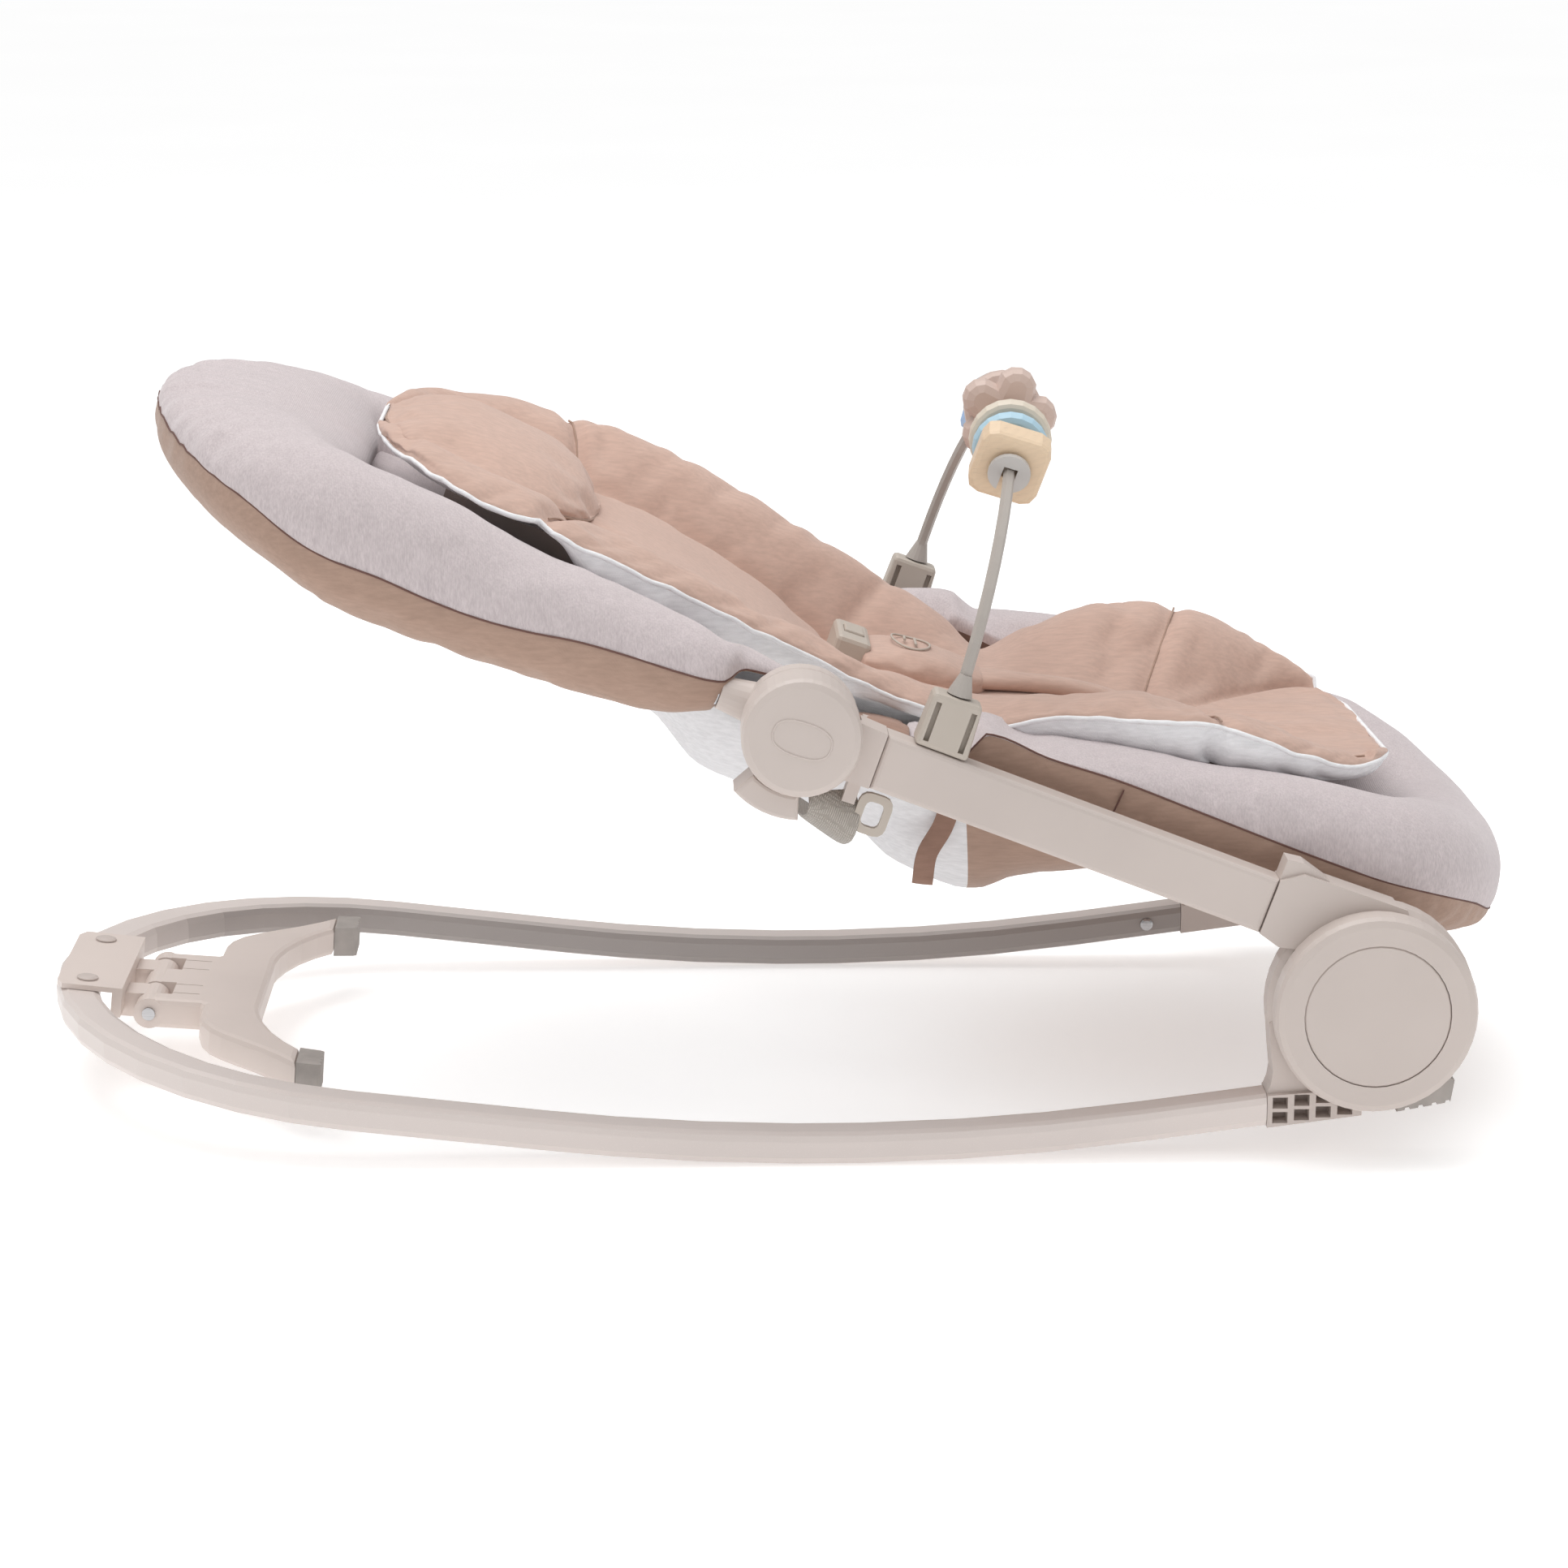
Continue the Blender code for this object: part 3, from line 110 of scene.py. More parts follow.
# ------------------------------------------------------------------ materials
class Nodes:
    """Short calls for building one procedural material."""

    def __init__(self, name):
        self.material = bpy.data.materials.new(name)
        self.material.use_nodes = True
        self.tree = self.material.node_tree
        self.shader = self.tree.nodes["Principled BSDF"]
        coords = self.tree.nodes.new("ShaderNodeTexCoord")
        self.coords = coords.outputs["Object"]

    def add(self, kind, **sockets):
        node = self.tree.nodes.new("ShaderNode" + kind)
        for key, value in sockets.items():
            socket = node.inputs[key.replace("_", " ")]
            if isinstance(value, bpy.types.NodeSocket):
                self.tree.links.new(value, socket)
            else:
                socket.default_value = value
        return node

    def link(self, output, key):
        self.tree.links.new(output, self.shader.inputs[key])

    def set(self, **values):
        for key, value in values.items():
            self.shader.inputs[key.replace("_", " ")].default_value = value

    def mapped(self, scale, turn=0.0):
        node = self.add("Mapping", Vector=self.coords)
        node.inputs["Scale"].default_value = scale
        node.inputs["Rotation"].default_value = (0.0, -turn, 0.0)
        return node.outputs["Vector"]

    def noise(self, scale, detail=3.0, vector=None, roughness=0.5):
        node = self.add("TexNoise", Vector=vector or self.coords, Scale=scale, Detail=detail,
                        Roughness=roughness)
        return node.outputs["Fac"]

    def ramp(self, value, stops):
        node = self.add("ValToRGB", Fac=value)
        ramp = node.color_ramp
        ramp.elements[0].position, ramp.elements[0].color = stops[0][0], (*stops[0][1], 1.0)
        ramp.elements[1].position, ramp.elements[1].color = stops[-1][0], (*stops[-1][1], 1.0)
        for position, colour in stops[1:-1]:
            ramp.elements.new(position).color = (*colour, 1.0)
        return node.outputs["Color"]

    def blend(self, factor, first, second, mode="MIX"):
        node = self.tree.nodes.new("ShaderNodeMix")
        node.data_type = "RGBA"
        node.blend_type = mode
        for index, value in ((0, factor), (6, first), (7, second)):
            if isinstance(value, bpy.types.NodeSocket):
                self.tree.links.new(value, node.inputs[index])
            elif index == 0:
                node.inputs[index].default_value = value
            else:
                node.inputs[index].default_value = (*value, 1.0)
        return node.outputs[2]

    def maths(self, operation, a, b=0.0, c=0.0):
        node = self.tree.nodes.new("ShaderNodeMath")
        node.operation = operation
        node.inputs[2].default_value = c
        for index, value in ((0, a), (1, b)):
            if isinstance(value, bpy.types.NodeSocket):
                self.tree.links.new(value, node.inputs[index])
            else:
                node.inputs[index].default_value = value
        return node.outputs[0]

    def bump(self, height, strength, distance):
        node = self.add("Bump", Height=height, Strength=strength, Distance=distance)
        self.link(node.outputs["Normal"], "Normal")


def tone(colour, factor):
    return tuple(min(1.0, c * factor) for c in colour)


def moulded(name, colour, rough=0.42, grain=700.0, depth=0.00006):
    """Satin moulded plastic: soft colour drift, mottled roughness and a spark-eroded grain."""
    m = Nodes(name)
    drift = m.noise(7.0, 4.0)
    m.link(m.ramp(drift, [(0.35, tone(colour, 0.955)), (0.65, tone(colour, 1.035))]),
           "Base Color")
    scuff = m.noise(60.0, 6.0, roughness=0.7)
    m.link(m.maths("MULTIPLY_ADD", scuff, 0.10, rough - 0.05), "Roughness")
    m.bump(m.noise(grain, 2.0), 0.25, depth)
    m.set(Specular_IOR_Level=0.45)
    return m.material


def painted(name, colour):
    """Powder-coated tube: orange-peel surface under a soft clear sheen, with painted shade on
    the inward sides.
    """
    m = Nodes(name)
    drift = m.noise(5.0, 5.0)
    speck = m.noise(1500.0, 1.0)
    base = m.ramp(drift, [(0.3, tone(colour, 0.95)), (0.7, tone(colour, 1.03))])
    coat = m.blend(m.ramp(speck, [(0.62, (0, 0, 0)), (0.75, (0.35,) * 3)]), base,
                   tone(colour, 1.15))
    # Painted shade: the colour is darkened on the inward sides of the loop, where the seat
    # shades them.
    shade_geometry = m.add("NewGeometry")
    facing = m.add("SeparateXYZ", Vector=shade_geometry.outputs["Normal"])
    place = m.add("SeparateXYZ", Vector=shade_geometry.outputs["Position"])
    across = m.maths("MULTIPLY", place.outputs["Y"], 4.0)
    outward = m.maths("MULTIPLY", facing.outputs["Y"], across)
    m.link(m.blend(1.0, coat, m.ramp(m.maths("ADD", outward, 0.5),
                                     [(0.10, (0.50,) * 3), (0.48, (1.0,) * 3)]),
                   "MULTIPLY"), "Base Color")
    m.bump(m.noise(420.0, 2.0), 0.30, 0.00008)
    m.set(Roughness=0.38, Coat_Weight=0.12, Coat_Roughness=0.3)
    return m.material


def rubber(name, colour):
    """Matt rubber, slightly mottled, with a fine dry grain."""
    m = Nodes(name)
    m.link(m.ramp(m.noise(90.0, 4.0), [(0.3, tone(colour, 0.9)), (0.7, tone(colour, 1.1))]),
           "Base Color")
    m.bump(m.noise(1200.0, 3.0), 0.4, 0.0001)
    m.set(Roughness=0.82, Specular_IOR_Level=0.3)
    return m.material


def steel(name):
    """Plain steel with drawn lines."""
    m = Nodes(name)
    m.link(m.ramp(m.noise(40.0, 5.0, m.mapped((1.0, 1.0, 30.0))),
                  [(0.3, (0.42, 0.42, 0.43)), (0.7, (0.62, 0.62, 0.63))]), "Base Color")
    m.bump(m.noise(900.0, 2.0, m.mapped((1.0, 1.0, 0.05))), 0.2, 0.00005)
    m.set(Metallic=1.0, Roughness=0.32)
    return m.material


def jersey(name, light, dark):
    """Melange knit: short upright flecks of two yarns over a fine rib."""
    m = Nodes(name)
    fleck = m.noise(1.0, 3.0, m.mapped((930.0, 930.0, 250.0), SLOPE), 0.6)
    broad = m.noise(1.0, 2.0, m.mapped((170.0, 170.0, 45.0), SLOPE))
    yarn = m.ramp(fleck, [(0.30, tone(dark, 0.98)), (0.50, tone(light, 0.93)),
                          (0.68, tone(light, 1.04))])
    drift = m.ramp(broad, [(0.30, (0.94,) * 3), (0.70, (1.0,) * 3)])
    m.link(m.blend(1.0, yarn, drift, "MULTIPLY"), "Base Color")
    rib = m.add("TexWave", Vector=m.mapped((1.0, 1.0, 0.15), SLOPE), Scale=330.0,
                Distortion=1.2, Detail=1.0)
    height = m.maths("ADD", rib.outputs["Fac"], m.maths("MULTIPLY", fleck, 0.8))
    m.bump(height, 0.35, 0.00022)
    m.set(Roughness=0.95, Sheen_Weight=0.35, Sheen_Roughness=0.5, Specular_IOR_Level=0.2)
    m.shader.inputs["Sheen Tint"].default_value = (1.0, 0.97, 0.97, 1.0)
    return m.material


def woven(name, colour, pitch=0.00055, depth=0.00012, sheen=0.25, contrast=0.05):
    """Plain weave: two crossed sets of threads, with slubs and a slow change of tone."""
    m = Nodes(name)
    count = 1.0 / pitch / 2.0
    warp = m.add("TexWave", Vector=m.mapped((1.0, 1.0, 1.0), SLOPE), Scale=count,
                 Distortion=0.6, Detail=1.0)
    weft = m.add("TexWave", Vector=m.mapped((1.0, 1.0, 1.0), SLOPE), Scale=count,
                 Distortion=0.6, Detail=1.0)
    warp.bands_direction, weft.bands_direction = "X", "Y"
    cloth = m.maths("MULTIPLY", warp.outputs["Fac"], weft.outputs["Fac"])
    slub = m.noise(1.0, 4.0, m.mapped((90.0, 420.0, 420.0), SLOPE), 0.6)
    base = m.ramp(m.noise(9.0, 4.0), [(0.3, tone(colour, 1 - contrast)),
                                      (0.7, tone(colour, 1 + contrast * 0.7))])
    thread = m.ramp(slub, [(0.30, (0.90,) * 3), (0.70, (1.06,) * 3)])
    m.link(m.blend(1.0, base, thread, "MULTIPLY"), "Base Color")
    m.bump(m.maths("ADD", cloth, slub), 0.35, depth)
    m.set(Roughness=0.88, Sheen_Weight=sheen, Sheen_Roughness=0.45, Specular_IOR_Level=0.25)
    return m.material


def webbing_weave(name, light, dark):
    """Webbing with fine raised picks in two directions."""
    m = Nodes(name)
    picks = m.add("TexWave", Vector=m.mapped((1.0, 1.0, 1.0), SLOPE), Scale=230.0,
                  Distortion=0.3)
    cross = m.add("TexWave", Vector=m.mapped((1.0, 1.0, 1.0), SLOPE), Scale=260.0,
                  Distortion=0.3)
    picks.bands_direction, cross.bands_direction = "Y", "X"
    height = m.maths("MULTIPLY", picks.outputs["Fac"], cross.outputs["Fac"])
    m.link(m.ramp(height, [(0.10, dark), (0.60, light)]), "Base Color")
    m.bump(height, 0.8, 0.0006)
    m.set(Roughness=0.9, Sheen_Weight=0.2)
    return m.material


def timber(name, colour, turn):
    """Pale beech: fine rings, darker flecks and a waxed skin."""
    m = Nodes(name)
    grain = m.mapped((22.0, 22.0, 130.0), turn)
    rings = m.add("TexWave", Vector=grain, Scale=1.6, Distortion=5.0, Detail=3.0)
    fleck = m.noise(1.0, 5.0, m.mapped((160.0, 160.0, 1500.0), turn), 0.65)
    base = m.ramp(rings.outputs["Fac"], [(0.1, tone(colour, 0.98)), (0.8, tone(colour, 1.01))])
    m.link(m.blend(m.ramp(fleck, [(0.56, (0, 0, 0)), (0.72, (0.5,) * 3)]), base,
                   tone(colour, 0.72)), "Base Color")
    m.bump(fleck, 0.2, 0.00008)
    m.set(Roughness=0.5, Coat_Weight=0.08)
    return m.material


FRAME = (0.595, 0.520, 0.480)
LINER = (0.600, 0.418, 0.345)
MATERIAL = {
    "frame": moulded("frame_plastic", FRAME, 0.42),
    "stand": moulded("stand_plastic", tone(FRAME, 1.24), 0.42),
    "tube": painted("tube_paint", (0.725, 0.650, 0.615)),
    "socket": moulded("socket_plastic", (0.520, 0.460, 0.400), 0.45),
    "grey_plastic": moulded("grey_plastic", (0.440, 0.400, 0.365), 0.5),
    "rubber": rubber("grey_rubber", (0.420, 0.385, 0.360)),
    "steel": steel("plain_steel"),
    "jersey": jersey("melange_jersey", (0.650, 0.575, 0.580), (0.545, 0.474, 0.484)),
    "liner": woven("liner_cloth", LINER),
    "band": woven("band_cloth", (0.420, 0.285, 0.222)),
    # Brown cloth at about half the band's tone: real brown cloth, darkened as painted shade
    # for the hollows inside the rims.
    "inner": woven("inner_cloth_painted_shade", (0.200, 0.130, 0.105)),
    "strap": woven("strap_cloth", (0.370, 0.228, 0.175), sheen=0.2),
    "lining": woven("lining_cloth", (0.905, 0.905, 0.920), 0.0014, 0.00025, 0.1, 0.02),
    "bag": woven("bag_cloth", (0.820, 0.815, 0.830), 0.0009, 0.0002, 0.1, 0.02),
    "stitch": woven("stitch_thread", (0.160, 0.085, 0.070), 0.0006, 0.0002, 0.1),
    "webbing": webbing_weave("webbing_weave", (0.560, 0.515, 0.465), (0.360, 0.325, 0.290)),
    "wood": timber("pale_wood", (0.780, 0.600, 0.420), SLOPE),
    "pale_blue": moulded("pale_blue", (0.440, 0.640, 0.760), 0.40),
    "mid_blue": moulded("mid_blue", (0.260, 0.450, 0.780), 0.40),
    "beige": moulded("beige_plastic", (0.720, 0.640, 0.530), 0.40),
    "pink": moulded("pink_plastic", (0.620, 0.480, 0.420), 0.45),
    "washer": moulded("washer_grey", (0.560, 0.540, 0.520), 0.5),
}
CAD_LOOKS = {
    "tube": ["base_tube"],
    "stand": ["bend_bracket", "kickstand"],
    "frame": ["base_hub", "bracket_rivet", "side_rail",
              "lower_housing", "upper_housing", "fold_button", "back_hub", "recline_lever"],
    "socket": ["toy_socket", "strap_slider", "buckle_body", "buckle_button"],
    "rubber": ["rear_foot", "kickstand_foot"],
    "steel": ["kickstand_pin", "back_tube", "leg_tube", "fold_axle", "tube_screw",
              "fold_spring"],
    "grey_plastic": ["toy_rod"],
    "washer": ["toy_washer", "toy_grey_ring"],
    "wood": ["toy_wood_block", "toy_wood_barrel"],
    "pale_blue": ["toy_pale_blue_ring"],
    "beige": ["toy_beige_ring"],
    "pink": ["toy_flower", "toy_pink_ring"],
    "mid_blue": ["toy_blue_block"],
}
for look, stems in CAD_LOOKS.items():
    for stem in stems:
        for name in (stem, stem + "_left", stem + "_right"):
            if name in NODES:
                slots = NODES[name].material_slots
                for slot in slots:
                    slot.material = MATERIAL[look]


def stage_floor():
    """Wide white paper floor just under the feet."""
    m = Nodes("paper_floor")
    m.link(m.ramp(m.noise(1.5, 3.0), [(0.3, (0.90, 0.90, 0.90)), (0.7, (0.92, 0.92, 0.92))]),
           "Base Color")
    m.bump(m.noise(300.0, 2.0), 0.05, 0.0001)
    m.set(Roughness=0.9, Specular_IOR_Level=0.1, Emission_Strength=0.38)
    m.shader.inputs["Emission Color"].default_value = (1.0, 1.0, 1.0, 1.0)
    mesh = bpy.data.meshes.new("floor")
    bm = bmesh.new()
    bmesh.ops.create_grid(bm, x_segments=1, y_segments=1, size=30.0)
    bm.to_mesh(mesh)
    bm.free()
    mesh.materials.append(m.material)
    floor = bpy.data.objects.new("floor", mesh)
    floor.location.z = -0.0005
    SCENE.collection.objects.link(floor)


# ------------------------------------------------------------------ mesh helpers
def table(value, pairs):
    """Smooth reading of (position, value) pairs."""
    xs = [p[0] for p in pairs]
    ys = [p[1] for p in pairs]
    if value <= xs[0]:
        return ys[0]
    if value >= xs[-1]:
        return ys[-1]
    k = max(i for i, x in enumerate(xs) if x <= value)
    t = (value - xs[k]) / (xs[k + 1] - xs[k])
    slope = []
    for i in (k, k + 1):
        a, b = max(i - 1, 0), min(i + 1, len(xs) - 1)
        slope.append((ys[b] - ys[a]) / (xs[b] - xs[a]))
    h = xs[k + 1] - xs[k]
    return ((2 * t ** 3 - 3 * t ** 2 + 1) * ys[k] + (t ** 3 - 2 * t ** 2 + t) * h * slope[0]
            + (3 * t ** 2 - 2 * t ** 3) * ys[k + 1] + (t ** 3 - t ** 2) * h * slope[1])


def smooth_loop(points, per):
    """Closed Catmull-Rom curve through 2D points, per samples for each stretch."""
    out = []
    count = len(points)
    for i in range(count):
        p = [np.array(points[(i + k - 1) % count], float) for k in range(4)]
        for j in range(per):
            t = j / per
            out.append(0.5 * (2 * p[1] + (p[2] - p[0]) * t
                              + (2 * p[0] - 5 * p[1] + 4 * p[2] - p[3]) * t * t
                              + (3 * p[1] - p[0] - 3 * p[2] + p[3]) * t ** 3))
    return out


def grid_mesh(name, rows, closed, slot_of, looks):
    """Quads between rows of seat-frame points. slot_of(row, column) picks the material."""
    mesh = bpy.data.meshes.new(name)
    verts = [SEAT @ Vector(p) for row in rows for p in row]
    wide = len(rows[0])
    faces, slots = [], []
    for i in range(len(rows) - 1):
        for j in range(wide if closed else wide - 1):
            k = (j + 1) % wide
            faces.append((i * wide + j, i * wide + k, (i + 1) * wide + k, (i + 1) * wide + j))
            slots.append(slot_of(i, j))
    mesh.from_pydata(verts, [], faces)
    for look in looks:
        mesh.materials.append(MATERIAL[look])
    mesh.polygons.foreach_set("material_index", slots)
    return mesh


def close_ends(mesh):
    bm = bmesh.new()
    bm.from_mesh(mesh)
    edges = [e for e in bm.edges if len(e.link_faces) == 1]
    bmesh.ops.holes_fill(bm, edges=edges, sides=0)
    bmesh.ops.recalc_face_normals(bm, faces=bm.faces)
    bm.to_mesh(mesh)
    bm.free()


def add_object(name, mesh):
    obj = bpy.data.objects.new(name, mesh)
    SCENE.collection.objects.link(obj)
    mesh.shade_smooth()
    return obj


def bake_modifiers(obj):
    bpy.context.view_layer.update()
    graph = bpy.context.evaluated_depsgraph_get()
    mesh = bpy.data.meshes.new_from_object(obj.evaluated_get(graph))
    obj.modifiers.clear()
    obj.data = mesh
    mesh.shade_smooth()


def subdivide(obj):
    made = obj.modifiers.new("fine", "SUBSURF")
    made.levels = made.render_levels = 1
    bake_modifiers(obj)


CLOTH_THICK = 0.0016


def thicken(obj):
    """Gives an open cloth its thickness, half to either side."""
    made = obj.modifiers.new("thickness", "SOLIDIFY")
    made.thickness, made.offset = CLOTH_THICK, 0.0
    bake_modifiers(obj)


def inflate(obj, held, pressure, frames, cap, shrink=-0.02):
    """Blows a closed mesh up as cloth. held gives each vertex's pin weight from 0 to 1."""
    rest = np.array([v.co for v in obj.data.vertices])
    group = obj.vertex_groups.new(name="held")
    for index, weight in enumerate(held):
        if weight > 0.0:
            group.add([index], weight, "REPLACE")
    cloth = obj.modifiers.new("cloth", "CLOTH")
    setting = cloth.settings
    setting.quality = 6
    setting.mass = 0.25
    setting.tension_stiffness = setting.compression_stiffness = 12.0
    setting.shear_stiffness = 6.0
    setting.bending_stiffness = 0.4
    setting.use_pressure = True
    setting.uniform_pressure_force = pressure
    setting.shrink_min = shrink
    setting.effector_weights.gravity = 0.0
    setting.vertex_group_mass = "held"
    setting.pin_stiffness = 2.0
    cloth.collision_settings.use_collision = False
    cloth.collision_settings.use_self_collision = False
    cloth.point_cache.frame_start = 1
    cloth.point_cache.frame_end = frames
    for step in range(1, frames + 1):
        SCENE.frame_set(step)
    graph = bpy.context.evaluated_depsgraph_get()
    made = bpy.data.meshes.new_from_object(obj.evaluated_get(graph))
    moved = np.array([v.co for v in made.vertices]) - rest
    length = np.linalg.norm(moved, axis=1, keepdims=True)
    share = np.minimum(1.0, cap / np.maximum(length, 1e-9))
    obj.modifiers.clear()
    obj.data.vertices.foreach_set("co", (rest + moved * share).ravel())
    obj.data.update()
    SCENE.frame_set(1)


def bead_line(name, points, radius, look, body=None, cyclic=False):
    """A thin round strand through seat-frame points, as a mesh."""
    data = bpy.data.curves.new(name, "CURVE")
    data.dimensions = "3D"
    data.bevel_depth = radius
    data.bevel_resolution = 2
    data.use_fill_caps = True
    spline = data.splines.new("POLY")
    spline.points.add(len(points) - 1)
    for point, place in zip(spline.points, points):
        point.co = (*(SEAT @ Vector(place)), 1.0)
    spline.use_cyclic_u = cyclic
    curve = bpy.data.objects.new(name + "_curve", data)
    SCENE.collection.objects.link(curve)
    bpy.context.view_layer.update()
    mesh = bpy.data.meshes.new_from_object(
        curve.evaluated_get(bpy.context.evaluated_depsgraph_get()))
    bpy.data.objects.remove(curve)
    mesh.materials.clear()
    mesh.materials.append(MATERIAL[look])
    obj = add_object(name, mesh)
    if body:
        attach(obj, body)
    return obj


def wobble(seed, place, scale):
    """Smooth repeatable noise between -1 and 1."""
    return noise.noise(Vector(place) * scale + Vector((seed * 7.3, seed * 3.1, seed * 5.7)))


def channel(distance, width):
    """One at zero distance, falling away smoothly over the width."""
    return math.exp(-(distance / width) ** 2)


# ------------------------------------------------------------------ bolsters
# (depth from the edge as a share of the width, height share, 1 above or -1 below the seam)
SECTION = [(0.00, 0.0, 0), (0.05, 0.52, 1), (0.24, 0.88, 1), (0.54, 1.0, 1), (0.82, 0.72, 1),
           (0.98, 0.25, 1), (0.93, 0.35, -1), (0.66, 0.95, -1), (0.30, 0.98, -1),
           (0.06, 0.55, -1)]
PER = 4
BEND_ROWS = 44
STRAIGHT_ROWS = 34


class Bolster:
    """A U-shaped padded rim: jersey crown, side band below the seam, hidden inner side in
    brown cloth darkened as painted shade.

    sign is +1 towards the legs and -1 towards the head. The sides run straight from the hinge
    to the bend and the end reaches out beyond it. Each table is read at u, the distance from
    the pivot: half the rim's spread, its width, and the heights of seam, underside and crown.
    """

    def __init__(self, sign, bend, reach, hinge, half, width, seam, low, top_near, top_far):
        self.sign, self.bend, self.reach, self.hinge = sign, bend, reach, hinge
        self.half, self.width, self.seam, self.low = half, width, seam, low
        self.top_near, self.top_far = top_near, top_far

    def stations(self, straight, curved):
        start = self.hinge[-1]
        out = [(u, 0.0) for u in self.hinge[:-1]]
        out += [(start + (self.bend - start) * k / straight, 0.0) for k in range(straight)]
        out += [(None, math.pi * k / (2 * curved)) for k in range(curved + 1)]
        return out + [(u, math.pi - a) for u, a in reversed(out[:-1])]

    def at(self, station):
        u, a = station
        side = -1.0 if a <= math.pi / 2 + 1e-9 else 1.0
        if u is not None:
            y = side * table(u, self.half)
            return u, Vector((self.sign * u, y, 0.0)), Vector((0.0, side, 0.0))
        wide = table(self.bend, self.half)
        u = self.bend + self.reach * math.sin(a)
        outward = Vector((self.sign * math.sin(a) * wide, -math.cos(a) * self.reach, 0.0))
        return u, Vector((self.sign * u, -wide * math.cos(a), 0.0)), outward.normalized()

    def section(self, u, edge, outward):
        width = table(u, self.width)
        far = min(1.0, max(0.0, 0.5 + edge.y / 0.2))
        top = table(u, self.top_near) * (1 - far) + table(u, self.top_far) * far
        seam, low = table(u, self.seam), table(u, self.low)
        ring = [(d * width, seam + ((top if side >= 0 else low) - seam) * h)
                for d, h, side in SECTION]
        return [edge - outward * d + Vector((0.0, 0.0, n)) for d, n in smooth_loop(ring, PER)]

    def build(self, name, straight, curved, crease):
        rows, path, last = [], 0.0, None
        for station in self.stations(straight, curved):
            u, edge, outward = self.at(station)
            path += (edge - last).length if last else 0.0
            last = edge
            ring = self.section(u, edge, outward)
            rows.append([crease(u, p, k / len(ring), outward, path)
                         for k, p in enumerate(ring)])
        crown = PER * 5 + 2

        # The hidden inner side takes the darkened brown cloth, painted shade.
        def slot_of(i, j):
            return 0 if j < crown else (2 if j < PER * 7 else 1)

        mesh = grid_mesh(name, rows, True, slot_of, ["jersey", "band", "inner"])
        close_ends(mesh)
        self.rows = rows
        self.wide = len(rows[0])
        return add_object(name, mesh)

    def pins(self, obj, end_rows=5):
        """Holds the seam, the hidden side and both ends while the rest swells."""
        held = []
        count = len(self.rows)
        for i in range(count):
            for j in range(self.wide):
                weight = 1.0 if j == 0 else (0.8 if 5.5 <= j / PER <= 7.5 else 0.0)
                if i < end_rows or i >= count - end_rows:
                    weight = 1.0
                held.append(weight)
        return held + [1.0] * (len(obj.data.vertices) - len(held))

    def seam_line(self, lift=0.0003):
        return [row[0] + Vector((0.0, 0.0, lift)) for row in self.rows]


HEAD_TOP = [(0.012, 0.0215), (0.030, 0.025), (0.048, 0.028), (0.066, 0.030),
            (0.112, 0.034), (0.158, 0.037), (0.183, 0.040), (0.208, 0.045),
            (0.237, 0.050), (0.267, 0.053), (0.320, 0.054), (0.409, 0.050)]
HEAD_FAR = HEAD_TOP[:-4] + [(0.208, 0.042), (0.237, 0.042), (0.267, 0.042), (0.320, 0.045),
                            (0.409, 0.050)]
HEAD = Bolster(
    -1, 0.275, 0.134, hinge=[0.012, 0.022, 0.032, 0.038, 0.042, 0.045, 0.048, 0.052],
    half=[(0.012, 0.176), (0.030, 0.180), (0.041, 0.183), (0.048, 0.194), (0.060, 0.197),
          (0.090, 0.195), (0.150, 0.190), (0.275, 0.190)],
    width=[(0.012, 0.020), (0.030, 0.030), (0.048, 0.044), (0.080, 0.056), (0.150, 0.070),
           (0.275, 0.080), (0.340, 0.102), (0.409, 0.135)],
    seam=[(0.012, 0.0180), (0.030, 0.0175), (0.041, 0.0160), (0.048, 0.009), (0.075, 0.006),
          (0.104, 0.005), (0.133, 0.003), (0.161, -0.001), (0.190, -0.003), (0.220, -0.002),
          (0.250, 0.001), (0.279, 0.002), (0.301, 0.0055), (0.332, 0.0145), (0.360, 0.019),
          (0.383, 0.023), (0.402, 0.027), (0.409, 0.028)],
    low=[(0.012, 0.0165), (0.030, 0.0155), (0.0440, 0.0140), (0.0465, -0.008), (0.052, -0.012),
         (0.080, -0.023), (0.150, -0.030), (0.260, -0.029), (0.320, -0.021),
         (0.380, -0.013), (0.409, -0.009)],
    top_near=HEAD_TOP, top_far=HEAD_FAR)
LEG_END = [(0.320, 0.057), (0.400, 0.060), (0.4576, 0.053)]
LEG = Bolster(
    1, 0.340, 0.1176, hinge=[0.062, 0.075, 0.090, 0.098, 0.101, 0.104, 0.108],
    half=[(0.060, 0.181), (0.120, 0.179), (0.340, 0.177)],
    width=[(0.060, 0.044), (0.100, 0.056), (0.160, 0.066), (0.340, 0.074), (0.458, 0.100)],
    seam=[(0.060, 0.010), (0.098, 0.012), (0.104, 0.0255), (0.143, 0.0235), (0.186, 0.024),
          (0.230, 0.022), (0.291, 0.019), (0.340, 0.0175), (0.388, 0.017), (0.420, 0.013),
          (0.440, 0.005), (0.4576, -0.003)],
    low=[(0.060, -0.010), (0.160, -0.008), (0.300, -0.013), (0.458, -0.018)],
    top_near=[(0.060, 0.011), (0.098, 0.013), (0.104, 0.0235), (0.125, 0.022), (0.187, 0.034),
              (0.249, 0.044), (0.289, 0.052)] + LEG_END,
    top_far=[(0.060, 0.026), (0.085, 0.036), (0.100, 0.040), (0.118, 0.035), (0.142, 0.041),
             (0.187, 0.052), (0.214, 0.057), (0.260, 0.058)] + LEG_END)


